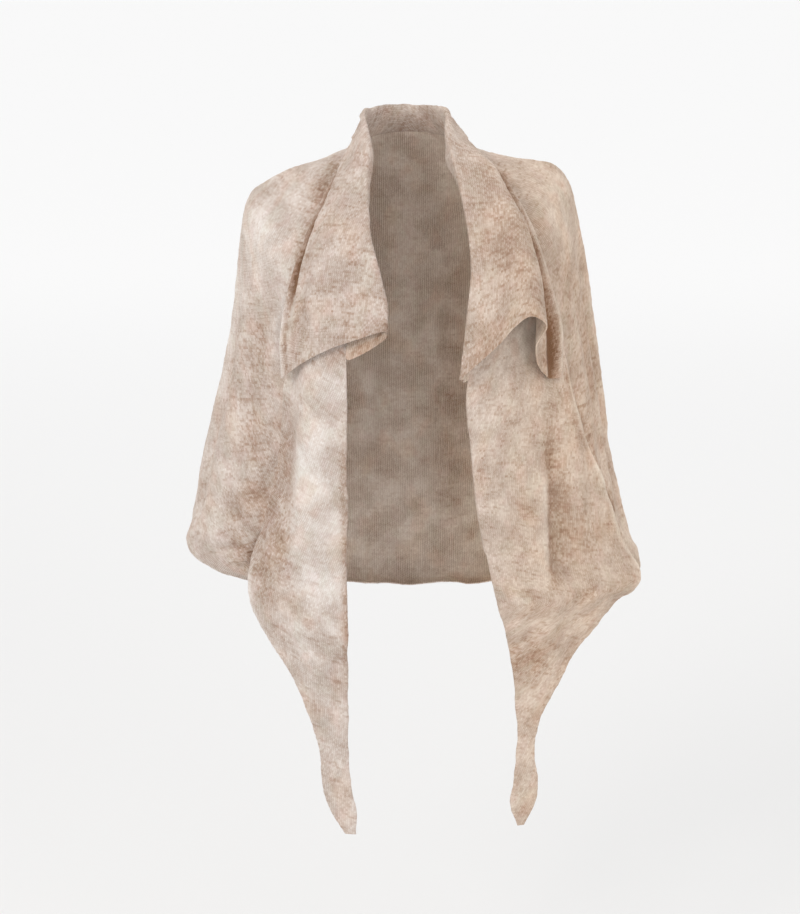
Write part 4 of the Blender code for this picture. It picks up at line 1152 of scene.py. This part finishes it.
def napTree():
    tree = bpy.data.node_groups.new("looseFibres", "GeometryNodeTree")
    face = tree.interface
    face.new_socket("Geometry", in_out="INPUT", socket_type="NodeSocketGeometry")
    for name, kind in (("Fibres Per Square Metre", "NodeSocketFloat"), ("Fibre Length", "NodeSocketFloat"),
                       ("Fibre Width", "NodeSocketFloat"), ("Seed", "NodeSocketInt"),
                       ("Finish", "NodeSocketMaterial")):
        face.new_socket(name, in_out="INPUT", socket_type=kind)
    face.new_socket("Geometry", in_out="OUTPUT", socket_type="NodeSocketGeometry")
    nodes = Nodes(tree)
    source = nodes.add("NodeGroupInput")
    density = nodes.add("GeometryNodeInputNamedAttribute", {"data_type": "FLOAT"},
                        Name="napDensity").outputs[0]
    density = nodes.math("MULTIPLY", density, source.outputs["Fibres Per Square Metre"])
    scattered = nodes.add("GeometryNodeDistributePointsOnFaces", {"distribute_method": "RANDOM"},
                          Mesh=source.outputs["Geometry"], Density=density, Seed=source.outputs["Seed"])
    line = nodes.add("GeometryNodeCurveQuadraticBezier", Resolution=3, Start=(0.0, 0.0, -0.05),
                     Middle=(0.12, 0.0, 0.62), End=(0.75, 0.12, 0.62))
    along = nodes.add("GeometryNodeSplineParameter").outputs["Factor"]
    taper = nodes.math("MULTIPLY_ADD", along, -0.7, 1.0)
    ribbon = nodes.add("GeometryNodeSetCurveRadius", Curve=line.outputs[0], Radius=taper)
    profile = nodes.add("GeometryNodeCurvePrimitiveLine", Start=(-0.5, 0.0, 0.0), End=(0.5, 0.0, 0.0))
    wideShare = nodes.math("DIVIDE", source.outputs["Fibre Width"], source.outputs["Fibre Length"])
    profile = nodes.add("GeometryNodeTransform", Geometry=profile.outputs[0],
                        Scale=nodes.add("ShaderNodeCombineXYZ", X=wideShare, Y=wideShare,
                                        Z=wideShare).outputs[0])
    fibre = nodes.add("GeometryNodeCurveToMesh", **{"Curve": ribbon.outputs[0],
                                                    "Profile Curve": profile.outputs[0]})
    lean = nodes.add("FunctionNodeRandomValue", {"data_type": "FLOAT_VECTOR"}, i0=(-0.9, -0.9, -math.pi),
                     i1=(0.9, 0.9, math.pi), Seed=source.outputs["Seed"])
    turn = nodes.add("FunctionNodeEulerToRotation", Euler=lean.outputs[0])
    turned = nodes.add("FunctionNodeRotateRotation", {"rotation_space": "LOCAL"},
                       Rotation=scattered.outputs["Rotation"], i1=turn.outputs[0])
    size = nodes.add("FunctionNodeRandomValue", {"data_type": "FLOAT"}, Seed=source.outputs["Seed"])
    size.inputs[2].default_value = 0.45
    size.inputs[3].default_value = 1.25
    size = nodes.math("MULTIPLY", size.outputs[1], source.outputs["Fibre Length"])
    spots = nodes.add("GeometryNodeInstanceOnPoints", Points=scattered.outputs["Points"],
                      Instance=fibre.outputs[0],
                      Rotation=turned.outputs[0], Scale=nodes.add("ShaderNodeCombineXYZ", X=size, Y=size,
                                                                  Z=size).outputs[0])
    realized = nodes.add("GeometryNodeRealizeInstances", Geometry=spots.outputs[0])
    finished = nodes.add("GeometryNodeSetMaterial", Geometry=realized.outputs[0],
                         Material=source.outputs["Finish"])
    nodes.add("NodeGroupOutput", Geometry=finished.outputs[0])
    return tree


def growNap(cover, tree, finish, seed):
    grower = cover.modifiers.new("nap", "NODES")
    grower.node_group = tree
    values = {"Fibres Per Square Metre": nap["fibresPerSquareMetre"], "Fibre Length": nap["length"],
              "Fibre Width": nap["width"], "Seed": seed, "Finish": finish}
    sockets = {item.name: item.identifier for item in tree.interface.items_tree if item.in_out == "INPUT"}
    for name, value in values.items():
        grower[sockets[name]] = value
    seen = cover.evaluated_get(bpy.context.evaluated_depsgraph_get())
    mesh = bpy.data.meshes.new_from_object(seen)
    cover.modifiers.remove(grower)
    piece = bpy.data.objects.new(cover.name + "Nap", mesh)
    bpy.context.scene.collection.objects.link(piece)
    print(piece.name, len(mesh.polygons) * 2, "triangles")
    return piece


# camera at the photograph's angle, floor and light
photoView = {"distance": 3.0, "height": 0.36, "aside": -0.0124, "tiltDown": 14.75, "focalPixels": 2248,
             "imageWidth": 800, "sensorWidth": 36.0}
studio = {"floorZ": -1.35, "floorHalf": 60.0, "nearTone": (228, 228, 228), "farTone": (252, 252, 252),
          "nearY": 0.2, "farY": 7.0, "skyTone": (255, 255, 255), "skyStrength": 0.97}
lampColumns = ("name", "place", "lookAt", "size", "power", "tone")
lamps = (
    ("keyLamp", (-1.9, -2.4, 1.5), (0.0, 0.0, -0.35), 1.3, 34.0, (255, 251, 246)),
    ("fillLamp", (2.0, -2.4, 0.5), (0.1, 0.0, -0.3), 1.6, 15.0, (255, 252, 249)),
    ("backLamp", (0.4, 2.6, 1.8), (0.0, 0.0, -0.3), 2.0, 10.0, (255, 252, 248)),
)


def aim(thing, place, lookAt):
    from mathutils import Vector
    thing.location = place
    way = Vector(lookAt) - Vector(place)
    thing.rotation_euler = way.to_track_quat("-Z", "Y").to_euler()


def makeCamera():
    data = bpy.data.cameras.new("photoCamera")
    data.sensor_fit = "HORIZONTAL"
    data.sensor_width = photoView["sensorWidth"]
    data.lens = photoView["focalPixels"] * photoView["sensorWidth"] / photoView["imageWidth"]
    data.clip_end = 200.0
    camera = bpy.data.objects.new("photoCamera", data)
    camera.location = (photoView["aside"], -photoView["distance"], photoView["height"])
    camera.rotation_euler = (math.radians(90 - photoView["tiltDown"]), 0.0, 0.0)
    bpy.context.scene.collection.objects.link(camera)
    bpy.context.scene.camera = camera


def makeStudio():
    half, z = studio["floorHalf"], studio["floorZ"]
    mesh = bpy.data.meshes.new("floor")
    mesh.from_pydata([(-half, -half, z), (half, -half, z), (half, half, z), (-half, half, z)], [],
                     [(0, 1, 2, 3)])
    floor = bpy.data.objects.new("floor", mesh)
    bpy.context.scene.collection.objects.link(floor)
    material = bpy.data.materials.new("paleFloor")
    material.use_nodes = True
    shader = material.node_tree.nodes["Principled BSDF"]
    nodes = Nodes(material.node_tree)
    place = nodes.add("ShaderNodeTexCoord").outputs["Object"]
    away = nodes.add("ShaderNodeSeparateXYZ", i0=place).outputs[1]
    away = nodes.ramp(away, studio["nearY"], studio["farY"])
    tone = nodes.mix(away, toLinear(*studio["nearTone"]), toLinear(*studio["farTone"]))
    material.node_tree.links.new(tone, shader.inputs["Base Color"])
    shader.inputs["Roughness"].default_value = 0.9
    mesh.materials.append(material)
    world = bpy.data.worlds.new("studioAir")
    world.use_nodes = True
    sky = world.node_tree.nodes["Background"]
    sky.inputs["Color"].default_value = toLinear(*studio["skyTone"])
    sky.inputs["Strength"].default_value = studio["skyStrength"]
    bpy.context.scene.world = world
    for row in lamps:
        lamp = dict(zip(lampColumns, row))
        data = bpy.data.lights.new(lamp["name"], "AREA")
        data.size = lamp["size"]
        data.energy = lamp["power"]
        data.color = toLinear(*lamp["tone"])[:3]
        light = bpy.data.objects.new(lamp["name"], data)
        aim(light, lamp["place"], lamp["lookAt"])
        bpy.context.scene.collection.objects.link(light)
    bpy.context.scene.view_settings.view_transform = "Standard"


makeCamera()
makeStudio()
heather = heatherGroup()
knit = knitMaterial(heather, stitchGroup())
loose = napMaterial(heather)
print("camera, studio and materials are made")

# Each piece's node, its flat cut (width and length), that cut's area, and what it hangs from.
# The cuts are measured on the modelled cloth, along its longest rows and columns, and not taken
# from a pattern, so a test of the cloth's area against them compares it with itself.
cuts = {
    "backPanel": {"node": "back", "flat": (0.44, 0.72), "area": 0.258, "restsOn": ["collar"]},
    "rightFront": {"node": "front_right", "flat": (0.166, 1.015), "area": 0.091, "restsOn": ["collar"]},
    "leftFront": {"node": "front_left", "flat": (0.266, 1.11), "area": 0.125, "restsOn": ["collar"]},
    "rightSleeve": {"node": "sleeve_right", "flat": (0.336, 0.717), "area": 0.184,
                    "restsOn": ["back", "front_right"]},
    "leftSleeve": {"node": "sleeve_left", "flat": (0.27, 0.761), "area": 0.152,
                   "restsOn": ["back", "front_left"]},
    "foldedCollar": {"node": "collar", "flat": (0.327, 1.036), "area": 0.148, "restsOn": ["back"]},
}
pieces = [makeBack(), makeFront("right"), makeFront("left"),
          makeSleeve("right"), makeSleeve("left"), makeCollar()]
print("cloth pieces are made")

fibres = napTree()
for seed, piece in enumerate(pieces):
    naps = growNap(piece, fibres, loose, nap["seed"] + seed)
    piece.data.materials.append(knit)
    cut = cuts[piece.name]
    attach(piece, "root")
    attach(naps, "root")
    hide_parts(cut["node"])
print("nap is grown and the pieces are placed")
